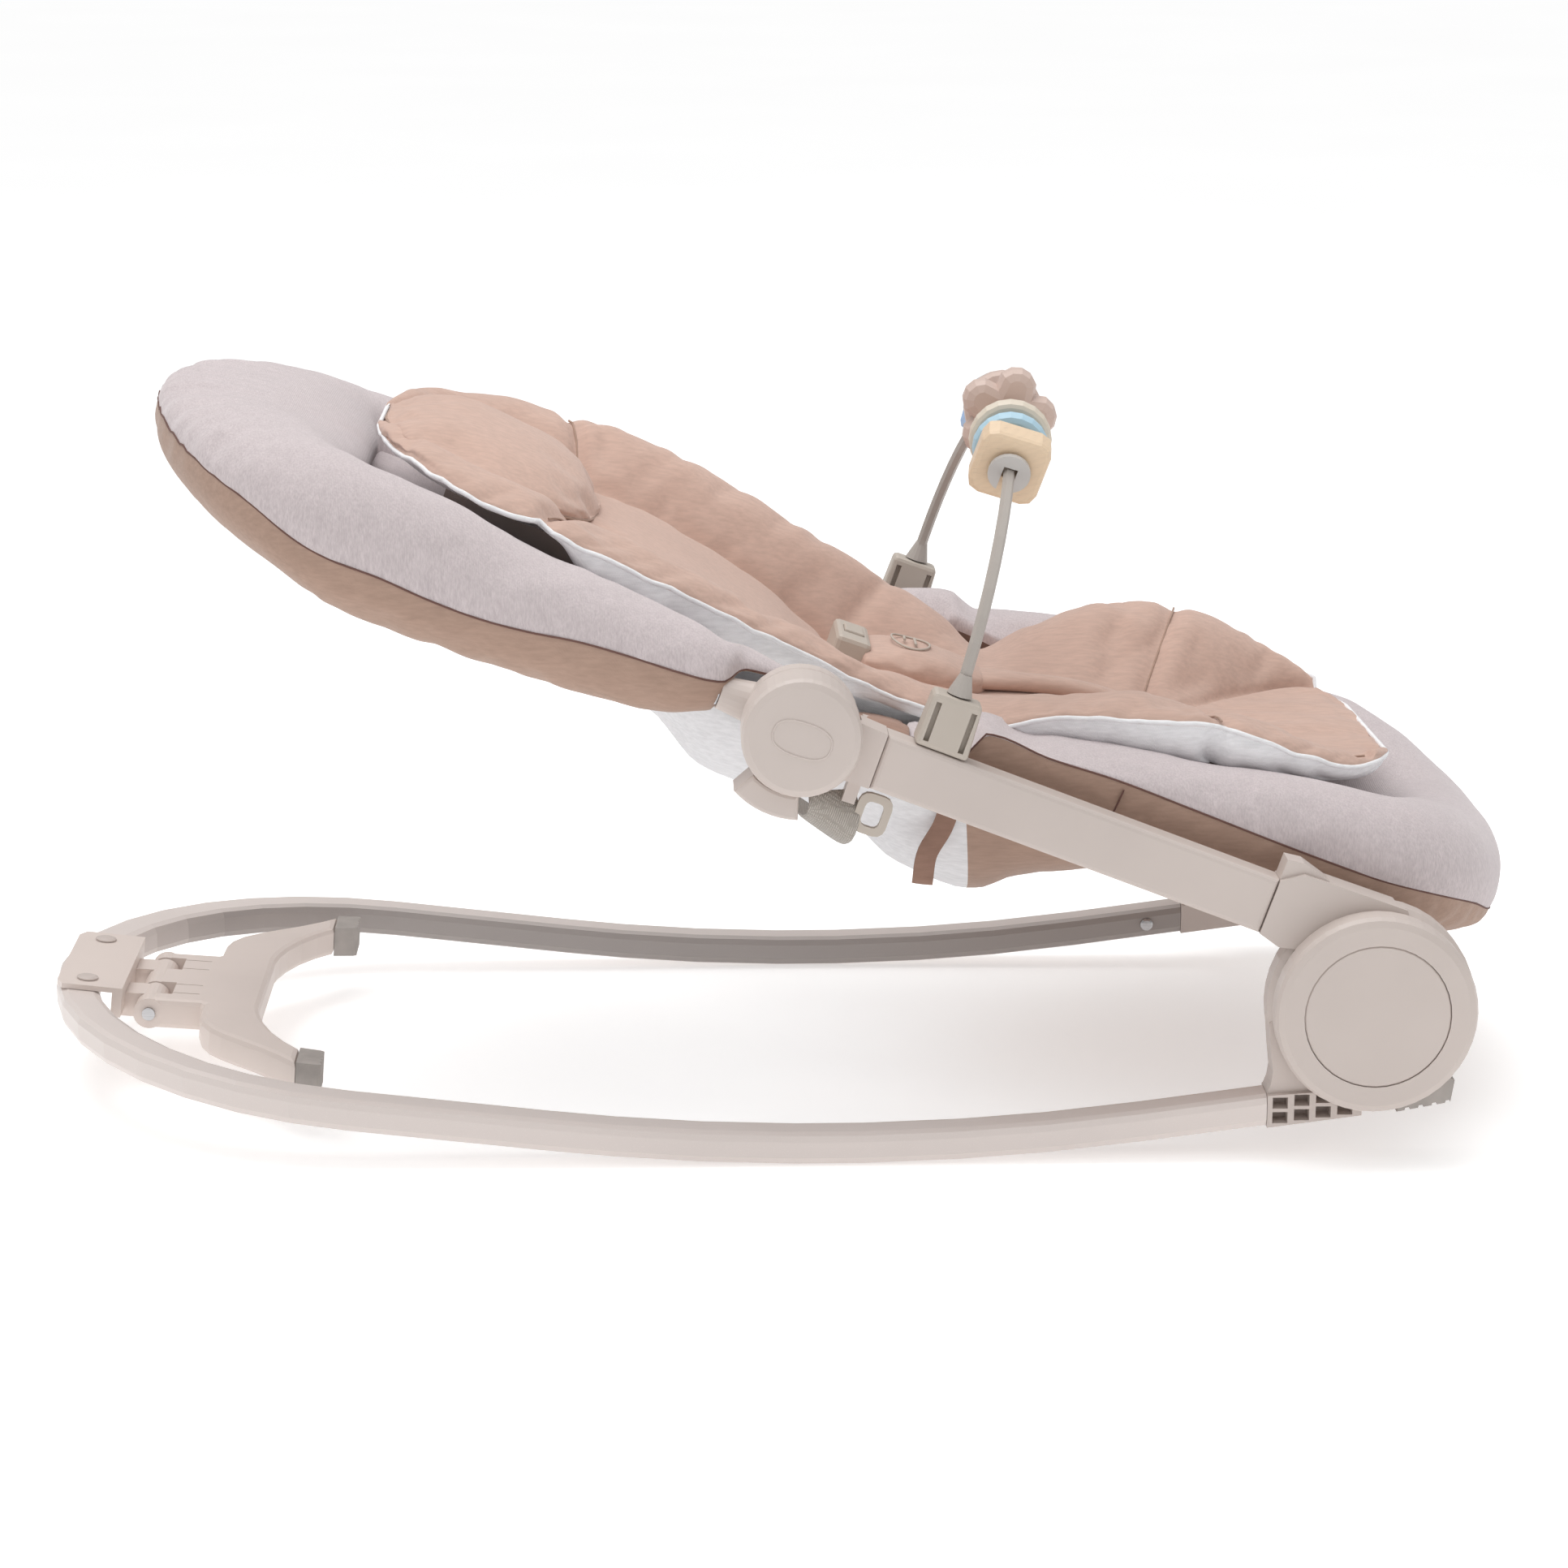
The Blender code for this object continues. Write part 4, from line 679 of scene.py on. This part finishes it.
def head_crease(u, p, around, outward, path):
    """Gathers that run in from the rim at the head, and slack along the sides."""
    apex = min(1.0, max(0.0, (u - 0.330) / 0.06))
    rim = math.exp(-((around - 0.10) / 0.13) ** 2)
    phase = path * 300.0 + 3.0 * wobble(1, (path, 0.0, 0.0), 35.0)
    depth = 0.6 + 0.6 * wobble(7, (path, 0.0, 0.0), 18.0)
    gather = 0.0034 * depth * apex * rim * math.sin(phase)
    slack = 0.0016 * wobble(2, tuple(p), 22.0) + 0.0007 * wobble(3, tuple(p), 60.0)
    weight = math.sin(math.pi * min(1.0, around / 0.55)) if around < 0.55 else 0.25
    return p + Vector((0.0, 0.0, gather + slack * weight)) + outward * (0.4 * gather)


def leg_crease(u, p, around, outward, path):
    """Slack over the crown and puckers along the top of the side band."""
    slack = 0.0018 * wobble(4, tuple(p), 20.0) + 0.0007 * wobble(5, tuple(p), 60.0)
    weight = math.sin(math.pi * min(1.0, around / 0.55)) if around < 0.55 else 0.3
    band = math.exp(-((around - 0.90) / 0.07) ** 2)
    slackness = 0.35 + channel(u - 0.195, 0.035) + channel(u - 0.285, 0.030)
    lean = path - 0.5 * (around - 0.9) * 0.05
    pucker = 0.0013 * band * slackness * math.sin(lean * 330.0
                                                  + 3.5 * wobble(6, tuple(p), 30.0))
    return p + Vector((0.0, 0.0, slack * weight)) + outward * pucker


BAND_SEAM_U = 0.188


def band_seams(form, body):
    """Upright seams that join the two lengths of each leg band."""
    for side, rows in (("near", form.rows), ("far", form.rows[::-1])):
        row = min(rows[:60], key=lambda r: abs(r[0].x - BAND_SEAM_U))
        proud = Vector((0.0, 0.0014 if row[-1].y > 0 else -0.0014, 0.0))
        band = row[-1:-(len(row) // 4):-1]
        line = bead_line("leg_band_seam_" + side, [q + proud for q in band], 0.0006,
                         "stitch", body)


def bolsters():
    for name, form, crease, body, node in (
            ("head_cushion", HEAD, head_crease, "backrest", "head_bolster"),
            ("leg_cushion", LEG, leg_crease, "seat_frame", "leg_bolster")):
        obj = form.build(name, STRAIGHT_ROWS, BEND_ROWS, crease)
        inflate(obj, form.pins(obj), pressure=3.0, frames=14, cap=0.0012)
        subdivide(obj)
        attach(obj, body)
        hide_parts(node)
        line = bead_line(name + "_seam", form.seam_line(), 0.0006, "stitch", body)
        if form is LEG:
            band_seams(form, body)


def inner_panel(name, low, high, form, level, body, jersey_from):
    """Cloth stretched across the inside of a rim, under the liner: brown cloth darkened as
    painted shade, then jersey from jersey_from on.
    """
    rows = []
    across, along = 20, 44
    for i in range(along + 1):
        u = low + (high - low) * i / along
        half = table(u, form.half) - 0.55 * table(u, form.width)
        if u > form.bend:
            half *= math.sqrt(max(0.05, 1 - ((u - form.bend) / (form.reach - 0.02)) ** 2))
        row = []
        for k in range(across + 1):
            t = 2 * k / across - 1
            n = table(u, level) + 0.010 * abs(t) ** 3
            row.append((form.sign * u, t * half, n + 0.0012 * wobble(12, (u, t, 0.0), 30.0)))
        rows.append(row)
    split = int(along * (jersey_from - low) / (high - low))
    mesh = grid_mesh(name, rows, False, lambda i, j: 1 if i >= split else 0,
                     ["inner", "jersey"])
    obj = add_object(name, mesh)
    thicken(obj)
    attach(obj, body)


def inner_panels():
    inner_panel("head_inner_cloth", 0.070, 0.340, HEAD,
                [(0.070, -0.024), (0.120, -0.014), (0.200, 0.004), (0.340, 0.012)],
                "backrest", 0.235)
    inner_panel("leg_inner_cloth", 0.110, 0.400, LEG,
                [(0.110, -0.028), (0.160, -0.012), (0.250, 0.000), (0.400, 0.010)],
                "seat_frame", 0.290)


# ------------------------------------------------------------------ liner
# s is distance from the pivot towards the head, so u = -s.
LINER_MID = [(-0.354, 0.068), (-0.335, 0.060), (-0.300, 0.048), (-0.260, 0.034),
             (-0.225, 0.022), (-0.190, 0.017), (-0.150, 0.012), (-0.114, 0.003),
             (-0.085, -0.006), (-0.060, -0.012), (-0.030, -0.010), (0.000, 0.000),
             (0.020, 0.009), (0.050, 0.018), (0.080, 0.025), (0.110, 0.030),
             (0.140, 0.034), (0.200, 0.038), (0.240, 0.043), (0.286, 0.054)]
EDGE_NEAR = [(-0.354, 0.072), (-0.340, 0.068), (-0.322, 0.064), (-0.287, 0.064),
             (-0.243, 0.064), (-0.197, 0.056), (-0.150, 0.039), (-0.120, 0.022),
             (-0.100, 0.017), (-0.061, 0.019), (-0.027, 0.021), (0.000, 0.026),
             (0.053, 0.033), (0.117, 0.042), (0.169, 0.048), (0.175, 0.051),
             (0.210, 0.052), (0.241, 0.054), (0.262, 0.055), (0.286, 0.060)]
EDGE_FAR = [(-0.354, 0.073), (-0.325, 0.071), (-0.280, 0.075), (-0.235, 0.076),
            (-0.190, 0.060), (-0.156, 0.037), (-0.128, 0.010), (-0.098, 0.022),
            (-0.042, 0.037), (0.024, 0.052), (0.080, 0.064), (0.130, 0.067),
            (0.173, 0.065), (0.213, 0.064), (0.245, 0.056), (0.286, 0.054)]
LINER_HALF = [(-0.354, 0.060), (-0.350, 0.082), (-0.341, 0.104), (-0.325, 0.121),
              (-0.300, 0.131), (-0.252, 0.137), (-0.241, 0.131), (-0.230, 0.136),
              (-0.180, 0.133), (-0.140, 0.128), (-0.100, 0.124), (-0.060, 0.124),
              (0.000, 0.128), (0.050, 0.133), (0.110, 0.139), (0.165, 0.140),
              (0.172, 0.133), (0.180, 0.141), (0.215, 0.141), (0.238, 0.130),
              (0.252, 0.112), (0.264, 0.090), (0.273, 0.068), (0.280, 0.040)]
FOLD_AT = [(-0.354, 0.97), (-0.335, 0.93), (-0.280, 0.55), (-0.228, 0.16), (-0.190, 0.24),
           (-0.140, 0.38), (-0.100, 0.48), (0.000, 0.56), (0.140, 0.56), (0.286, 0.56)]
# How far the white lining hangs below the pad near its edges.
WALL = [(-0.354, 0.000), (-0.330, 0.006), (-0.290, 0.014), (-0.245, 0.021), (-0.200, 0.023),
        (-0.150, 0.016), (-0.110, 0.007), (-0.060, 0.007), (-0.020, 0.011), (0.000, 0.015),
        (0.050, 0.019), (0.110, 0.021), (0.140, 0.014), (0.160, 0.003), (0.200, 0.001),
        (0.280, 0.000)]
PAD = 0.008
# Fraction across at which the back's side panels are sewn to its middle.
PANEL_SEAM = 0.585
PILE = Vector((0.0, 0.0, 0.0034))


def wing_seam(side):
    """Place along the back where the head wings are sewn to the side panels."""
    return 0.145 + 0.054 * (side - 0.5)


def leg_seam(side):
    """Place along the legs where the foot panels are sewn on."""
    return -0.217 - 0.022 * side


def quilt(s, t):
    """How far sewn channels pull the pad in, from 0 to 1, at s along and t across."""
    half = table(s, LINER_HALF)
    side = abs(t)
    pull = 0.0
    if -0.338 < s < -0.218:
        pull = channel((side - table(s, FOLD_AT)) * half, 0.0065)
    pull = max(pull, channel(s - leg_seam(side), 0.0058) * min(1.0, side / 0.12))
    if -0.020 < s < 0.150:
        pull = max(pull, 0.9 * channel((side - PANEL_SEAM) * half, 0.0065))
    if side > 0.42:
        pull = max(pull, channel(s - wing_seam(side), 0.0058))
    return max(pull, 0.6 * channel(s + 0.025, 0.0060) if side < 0.6 else 0.0)


def liner_surface(s, t):
    """Middle surface of the liner in the seat frame: flat middle, wings that stand up."""
    half = table(s, LINER_HALF)
    mid = table(s, LINER_MID)
    side = abs(t)
    edge = table(s, EDGE_NEAR) if t < 0 else table(s, EDGE_FAR)
    fold = table(s, FOLD_AT) * (0.85 if t < 0 else 1.05)
    k = min(1.0, max(0.0, (side - fold) / max(0.02, 0.97 - fold)))
    rise = k * k * (3 - 2 * k)
    wrinkle = 0.0022 * wobble(8, (s, t * half, 0.0), 21.0)
    wrinkle += 0.0012 * wobble(13, (s + t * half * 0.8, t * half * 0.3, 0.0), 75.0)
    swell = 0.005 * math.sin(math.pi * k) * (1 if s > -0.2 else 0.5)
    return Vector((-s, t * half, mid + (edge - mid) * rise + wrinkle * (0.4 + rise) + swell))


def pad_rows(surface, thickness, ends, along, across):
    """Rows of a closed pad round a middle surface, with pins for its sewn places."""
    rows, held = [], []
    fractions = [math.sin(math.pi / 2 * (2 * k / across - 1)) for k in range(across + 1)]
    for i in range(along + 1):
        s = ends[0] + (ends[1] - ends[0]) * (0.15 * i / along
                                             + 0.85 * (1 - math.cos(math.pi * i / along)) / 2)
        over, under, pins = [], [], []
        for t in fractions:
            p = surface(s, t)
            du = surface(s + 0.002, t) - surface(s - 0.002, t)
            dt = surface(s, min(1, t + 0.02)) - surface(s, max(-1, t - 0.02))
            normal = dt.cross(du).normalized()
            normal = -normal if normal.z < 0 else normal
            up, down, pin = thickness(s, t)
            over.append(p + normal * up)
            under.append(p - normal * down)
            pins.append(pin)
        rows.append(over + under[::-1])
        held += pins + [1.0] * len(pins)
    return rows, held, len(fractions)


def padded_piece(name, surface, thickness, ends, along, across, looks, cap):
    """A pad with its own upper and lower cloth, and the line round its rim."""
    rows, held, top = pad_rows(surface, thickness, ends, along, across)
    wide = len(rows[0])
    mesh = grid_mesh(name, rows, True,
                     lambda i, j: 0 if j < top - 1 or j == wide - 1 else 1, looks)
    close_ends(mesh)
    obj = add_object(name, mesh)
    held += [1.0] * (len(mesh.vertices) - len(held))
    inflate(obj, held, pressure=4.0, frames=14, cap=cap, shrink=-0.03)
    subdivide(obj)
    rim = [(row[top - 1] + row[top]) / 2 for row in rows]
    near = [(row[0] + row[-1]) / 2 for row in rows]
    return obj, near + rim[::-1]


JOIN = (SEAT @ Vector((-0.055, 0, 0)), SEAT @ Vector((0.045, 0, 0)))


def liner():
    """One quilted pad from the head to the feet, tan above and white below."""
    ends = (-0.353, 0.279)

    def thickness(s, t):
        taper = min(1.0, (s - ends[0]) / 0.015 + 0.12, (ends[1] - s) / 0.015 + 0.12)
        rim = math.sqrt(max(0.0, 1.0 - abs(t) ** 9)) * taper
        pull = quilt(s, t)
        pin = 1.0 if pull > 0.75 or abs(t) > 0.985 else 0.0
        k = min(1.0, max(0.0, (abs(t) - 0.60) / 0.30))
        wall = table(s, WALL) * k * k * (3 - 2 * k) * math.sqrt(max(0.0, 1 - abs(t) ** 26))
        return (PAD * (1.0 - 0.95 * pull) * rim + 0.0007,
                0.0030 * rim + wall + 0.0007, pin)

    obj, rim = padded_piece("liner_pad", liner_surface, thickness, ends, 150, 46,
                            ["liner", "lining"], 0.003)
    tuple(JOIN[0])
    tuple(JOIN[1])
    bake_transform(obj)
    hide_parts("back_liner", "seat_liner")
    edge = bead_line("liner_edge", rim, 0.0014, "lining", None, True)
    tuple(JOIN[0])
    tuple(JOIN[1])
    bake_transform(edge)
    liner_seams()


def liner_seams():
    """Sewn lines over the liner: foot panels, foot fan, head wings and back panels."""
    for side, name in ((-1, "near"), (1, "far")):
        lines = {
            "leg_cross": [(leg_seam(k / 20), side * k / 20) for k in range(2, 21)],
            "leg_fold": [(-0.222 - 0.0058 * k, None) for k in range(20)],
            "wing": [(wing_seam(0.5 + k / 20), side * (0.5 + k / 20)) for k in range(10)],
            "panel": [(-0.018 + 0.0084 * k, side * PANEL_SEAM) for k in range(20)],
        }
        for key, places in lines.items():
            points = []
            for s, t in places:
                t = side * table(s, FOLD_AT) if t is None else t
                points.append(liner_surface(s, t) + PILE)
            line = bead_line("liner_%s_seam_%s" % (key, name), points, 0.0007, "band")
            if key == "panel":
                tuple(JOIN[0])
                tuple(JOIN[1])
                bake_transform(line)
            else:
                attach(line, "backrest" if key == "wing" else "seat_frame")


PILLOW_HALF = [(0.139, 0.022), (0.143, 0.050), (0.150, 0.072), (0.160, 0.089), (0.175, 0.102),
               (0.205, 0.111), (0.235, 0.108), (0.258, 0.088), (0.269, 0.066), (0.277, 0.036)]
PILLOW_EDGE = [(0.139, 0.046), (0.160, 0.049), (0.200, 0.052), (0.240, 0.056), (0.270, 0.061),
               (0.282, 0.063)]


def head_pillow():
    """Soft cushion sewn over the head end of the liner."""
    ends = (0.1395, 0.2765)
    far_share, far_drop = 0.70, -0.004

    def surface(s, t):
        half = table(s, PILLOW_HALF) * (far_share if t > 0 else 1.0)
        n = table(s, PILLOW_EDGE) + (far_drop if t > 0 else 0.0) * abs(t)
        return Vector((-s, t * half, n + 0.0010 * wobble(14, (s, t * half, 0.0), 30.0)))

    def thickness(s, t):
        length = min(1.0, (s - ends[0]) / 0.050 + 0.03, (ends[1] - s) / 0.045 + 0.03)
        crown = (1.0 - abs(t) ** 2.4) ** 0.6 * math.sin(math.pi / 2 * length) ** 0.75
        return 0.023 * crown + 0.0007, 0.004 * crown + 0.0007, 1.0 if abs(t) > 0.985 else 0.0

    obj, rim = padded_piece("head_pillow", surface, thickness, ends, 56, 32,
                            ["liner", "liner"], 0.004)
    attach(obj, "backrest")
    line = bead_line("head_pillow_seam", rim, 0.0009, "band", "backrest", True)


# ------------------------------------------------------------------ sling under the seat
BAG_LOW = [(-0.298, -0.030), (-0.200, -0.024), (-0.120, -0.036), (-0.068, -0.055),
           (-0.038, -0.074), (-0.009, -0.078), (0.064, -0.079), (0.091, -0.093),
           (0.118, -0.099), (0.139, -0.094), (0.168, -0.080), (0.200, -0.064),
           (0.260, -0.036), (0.334, -0.024)]
BAG_EDGE = [(-0.298, -0.020), (-0.200, -0.010), (-0.060, -0.014), (0.000, -0.020),
            (0.100, -0.016), (0.200, -0.012), (0.334, -0.014)]
BAG_HALF = [(-0.298, 0.060), (-0.270, 0.100), (-0.100, 0.112), (0.260, 0.108),
            (0.334, 0.060)]
PANEL_U = 0.131


def under_sling():
    """White bag under the seat with a tan panel at the legs."""
    along, across = 96, 28
    low, high = -0.297, 0.333
    stations = [low + (high - low) * k / along for k in range(along + 1)]
    nearest = min(range(along + 1), key=lambda k: abs(stations[k] - PANEL_U))
    rows = []
    for u in stations:
        row = []
        for k in range(across + 1):
            t = 2 * k / across - 1
            half = table(u, BAG_HALF)
            mid, edge = table(u, BAG_LOW), table(u, BAG_EDGE)
            rise = abs(t) ** 4
            n = mid + (edge - mid) * rise
            n += 0.0020 * wobble(9, (u, t * 0.1, 0.0), 26.0) * (1 - rise)
            n += 0.0010 * wobble(10, (u, t * 0.1, 0.0), 70.0) * (1 - rise)
            lean = 0.45 * (-0.058 - n) * math.exp(-((u - PANEL_U) / 0.03) ** 2)
            row.append((u + lean, t * half, n))
        rows.append(row)
    mesh = grid_mesh("under_sling", rows, False,
                     lambda i, j: 1 if i >= nearest and j < across else 0, ["bag", "band"])
    obj = add_object("under_sling", mesh)
    thicken(obj)
    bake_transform(obj)
    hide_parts("back_sling", "seat_sling")


# ------------------------------------------------------------------ harness
def ribbon(name, path, across, width, thick, look, crown=0.0):
    """A flat strap along seat-frame points; across is its width direction."""
    rows = []
    for i, point in enumerate(path):
        ahead = Vector(path[min(i + 1, len(path) - 1)]) - Vector(path[max(i - 1, 0)])
        side = Vector(across).normalized()
        up = ahead.normalized().cross(side).normalized()
        side = up.cross(ahead.normalized()).normalized()
        ring = []
        half = (width[i] if isinstance(width, list) else width) / 2
        for k in range(16):
            a = 2 * math.pi * k / 16
            c, s = math.cos(a), math.sin(a)
            x = math.copysign(abs(c) ** 0.45, c) * half
            z = math.copysign(abs(s) ** 0.8, s) * (thick / 2 + crown * (1 - (x / half) ** 2))
            ring.append(Vector(point) + side * x + up * z)
        rows.append(ring)
    mesh = grid_mesh(name, rows, True, lambda i, j: 0, [look])
    close_ends(mesh)
    obj = add_object(name, mesh)
    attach(obj, "seat_frame")
    return obj


def smooth_path(points, count):
    """A smooth open path through 3D points."""
    points = [Vector(p) for p in points]
    spans = [0.0]
    for a, b in zip(points, points[1:]):
        spans.append(spans[-1] + (b - a).length)
    out = []
    for k in range(count):
        at = spans[-1] * k / (count - 1)
        out.append(Vector([table(at, list(zip(spans, [p[i] for p in points])))
                           for i in range(3)]))
    return out


TONGUE_TOP, TONGUE_LONG, TONGUE_HALF = 0.0400, 0.0815, 0.0355
BADGE_U, BADGE_LONG, BADGE_HALF, BADGE_N = 0.068, 0.0122, 0.0165, 0.0296


def crotch_pad():
    """Padded tongue below the buckle."""
    along, around = 26, 30
    rows = []
    for i in range(along + 1):
        f = i / along
        u = TONGUE_TOP + TONGUE_LONG * f
        half = TONGUE_HALF * math.sqrt(max(0.02, 1 - max(0.0, (f - 0.45) / 0.56) ** 2.2))
        half *= 0.90 + 0.10 * math.sin(math.pi * min(1.0, f * 1.6 + 0.1))
        mid = 0.0130 + 0.006 * f
        thick = 0.0125 * math.sqrt(max(0.03, math.sin(math.pi * (0.06 + 0.88 * f))))
        ring = []
        for k in range(around):
            a = 2 * math.pi * k / around
            c, s = math.cos(a), math.sin(a)
            x = math.copysign(abs(c) ** 0.62, c) * half
            z = math.copysign(abs(s) ** 0.85, s) * thick
            z += 0.0006 * wobble(11, (u, x, 0.0), 90.0)
            ring.append((u, x, mid + z))
        rows.append(ring)
    mesh = grid_mesh("crotch_tongue", rows, True, lambda i, j: 0, ["liner"])
    close_ends(mesh)
    obj = add_object("crotch_tongue", mesh)
    held = [0.0] * len(mesh.vertices)
    for i in range(along + 1):
        for k in (0, around // 2):
            held[i * around + k] = 1.0
    inflate(obj, held, pressure=3.0, frames=12, cap=0.0008)
    subdivide(obj)
    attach(obj, "seat_frame")
    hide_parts("crotch_pad")


def crotch_badge():
    """Plain oval on the tongue, bent to its crown, with a bar and a dot inside."""
    badge = []
    for k in range(40):
        a = 2 * math.pi * k / 40
        badge.append((BADGE_U + BADGE_LONG * math.cos(a), BADGE_HALF * math.sin(a), BADGE_N
                      - 0.0016 * math.sin(a) ** 2 + 0.0010 * math.cos(a)))
    ring = bead_line("crotch_badge_rim", badge, 0.0007, "socket", "seat_frame", True)
    for name, shift, share in (("crotch_badge_bar", 0.003, 0.55),
                               ("crotch_badge_dot", -0.004, 0.25)):
        row = [(BADGE_U + shift, BADGE_HALF * x * share, 0.0297)
               for x in (-1, -0.5, 0, 0.5, 1)]
        mark = bead_line(name, row, 0.0009, "socket", "seat_frame")


def harness():
    """Crotch tongue and strap, waist belts, webbing loops and the pull tab."""
    crotch_pad()
    crotch_badge()
    path = smooth_path([(0.1120, 0, 0.0200), (0.140, 0.0, 0.0270), (0.170, 0.002, 0.0330),
                        (0.200, 0.004, 0.0345), (0.226, 0.006, 0.0290)], 30)
    width = [0.034 - 0.016 * min(1, k / 9) for k in range(30)]
    strap = ribbon("crotch_webbing", path, (0, 1, 0), width, 0.0080, "liner", 0.0022)
    subdivide(strap)
    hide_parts("crotch_strap")
    for side, name in ((-1, "left"), (1, "right")):
        rise = -0.003 if side < 0 else 0.012
        path = smooth_path([(0.0500, side * 0.1850, 0.0040),
                            (0.0500, side * 0.177, 0.0100 + rise),
                            (0.0500, side * 0.160, 0.0120 + rise),
                            (0.0500, side * 0.140, 0.0080 + rise),
                            (0.0510, side * 0.118, 0.0020)], 24)
        belt = ribbon("waist_belt_" + name, path, (1, 0, 0.12), 0.028, 0.0030, "strap", 0.0008)
        subdivide(belt)
        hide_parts("waist_strap_" + name)
        path = smooth_path([(0.0300, side * 0.1930, -0.0310), (0.0345, side * 0.1975, -0.0400),
                            (0.0360, side * 0.1940, -0.0510), (0.0330, side * 0.1700, -0.0590),
                            (0.0300, side * 0.1350, -0.0580)], 26)
        loop = ribbon("anchor_loop_" + name, path, (1, 0, -0.30), 0.0300, 0.0028, "webbing")
        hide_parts("anchor_strap_" + name)
    path = smooth_path([(0.110, -0.106, -0.030), (0.1100, -0.109, -0.050),
                        (0.1065, -0.112, -0.068), (0.1100, -0.112, -0.086)], 18)
    tab = ribbon("pull_tab", path, (1, 0, 0.1), 0.0125, 0.0022, "strap", 0.0004)


# ------------------------------------------------------------------ hub badges
CAP_FACE_Y = 0.2328


def hub_badges():
    """Plain raised oval on each recline cap."""
    for side, name in ((-1, "left"), (1, "right")):
        rim = []
        for k in range(48):
            a = 2 * math.pi * k / 48
            c, s = math.cos(a), math.sin(a)
            rim.append((0.0170 * math.copysign(abs(c) ** 0.8, c), side * CAP_FACE_Y,
                        0.0098 * math.copysign(abs(s) ** 0.8, s)))
        line = bead_line("hub_badge_" + name, rim, 0.0006, "frame", "seat_frame", True)


stage_floor()
bolsters()
inner_panels()
liner()
head_pillow()
under_sling()
harness()
hub_badges()
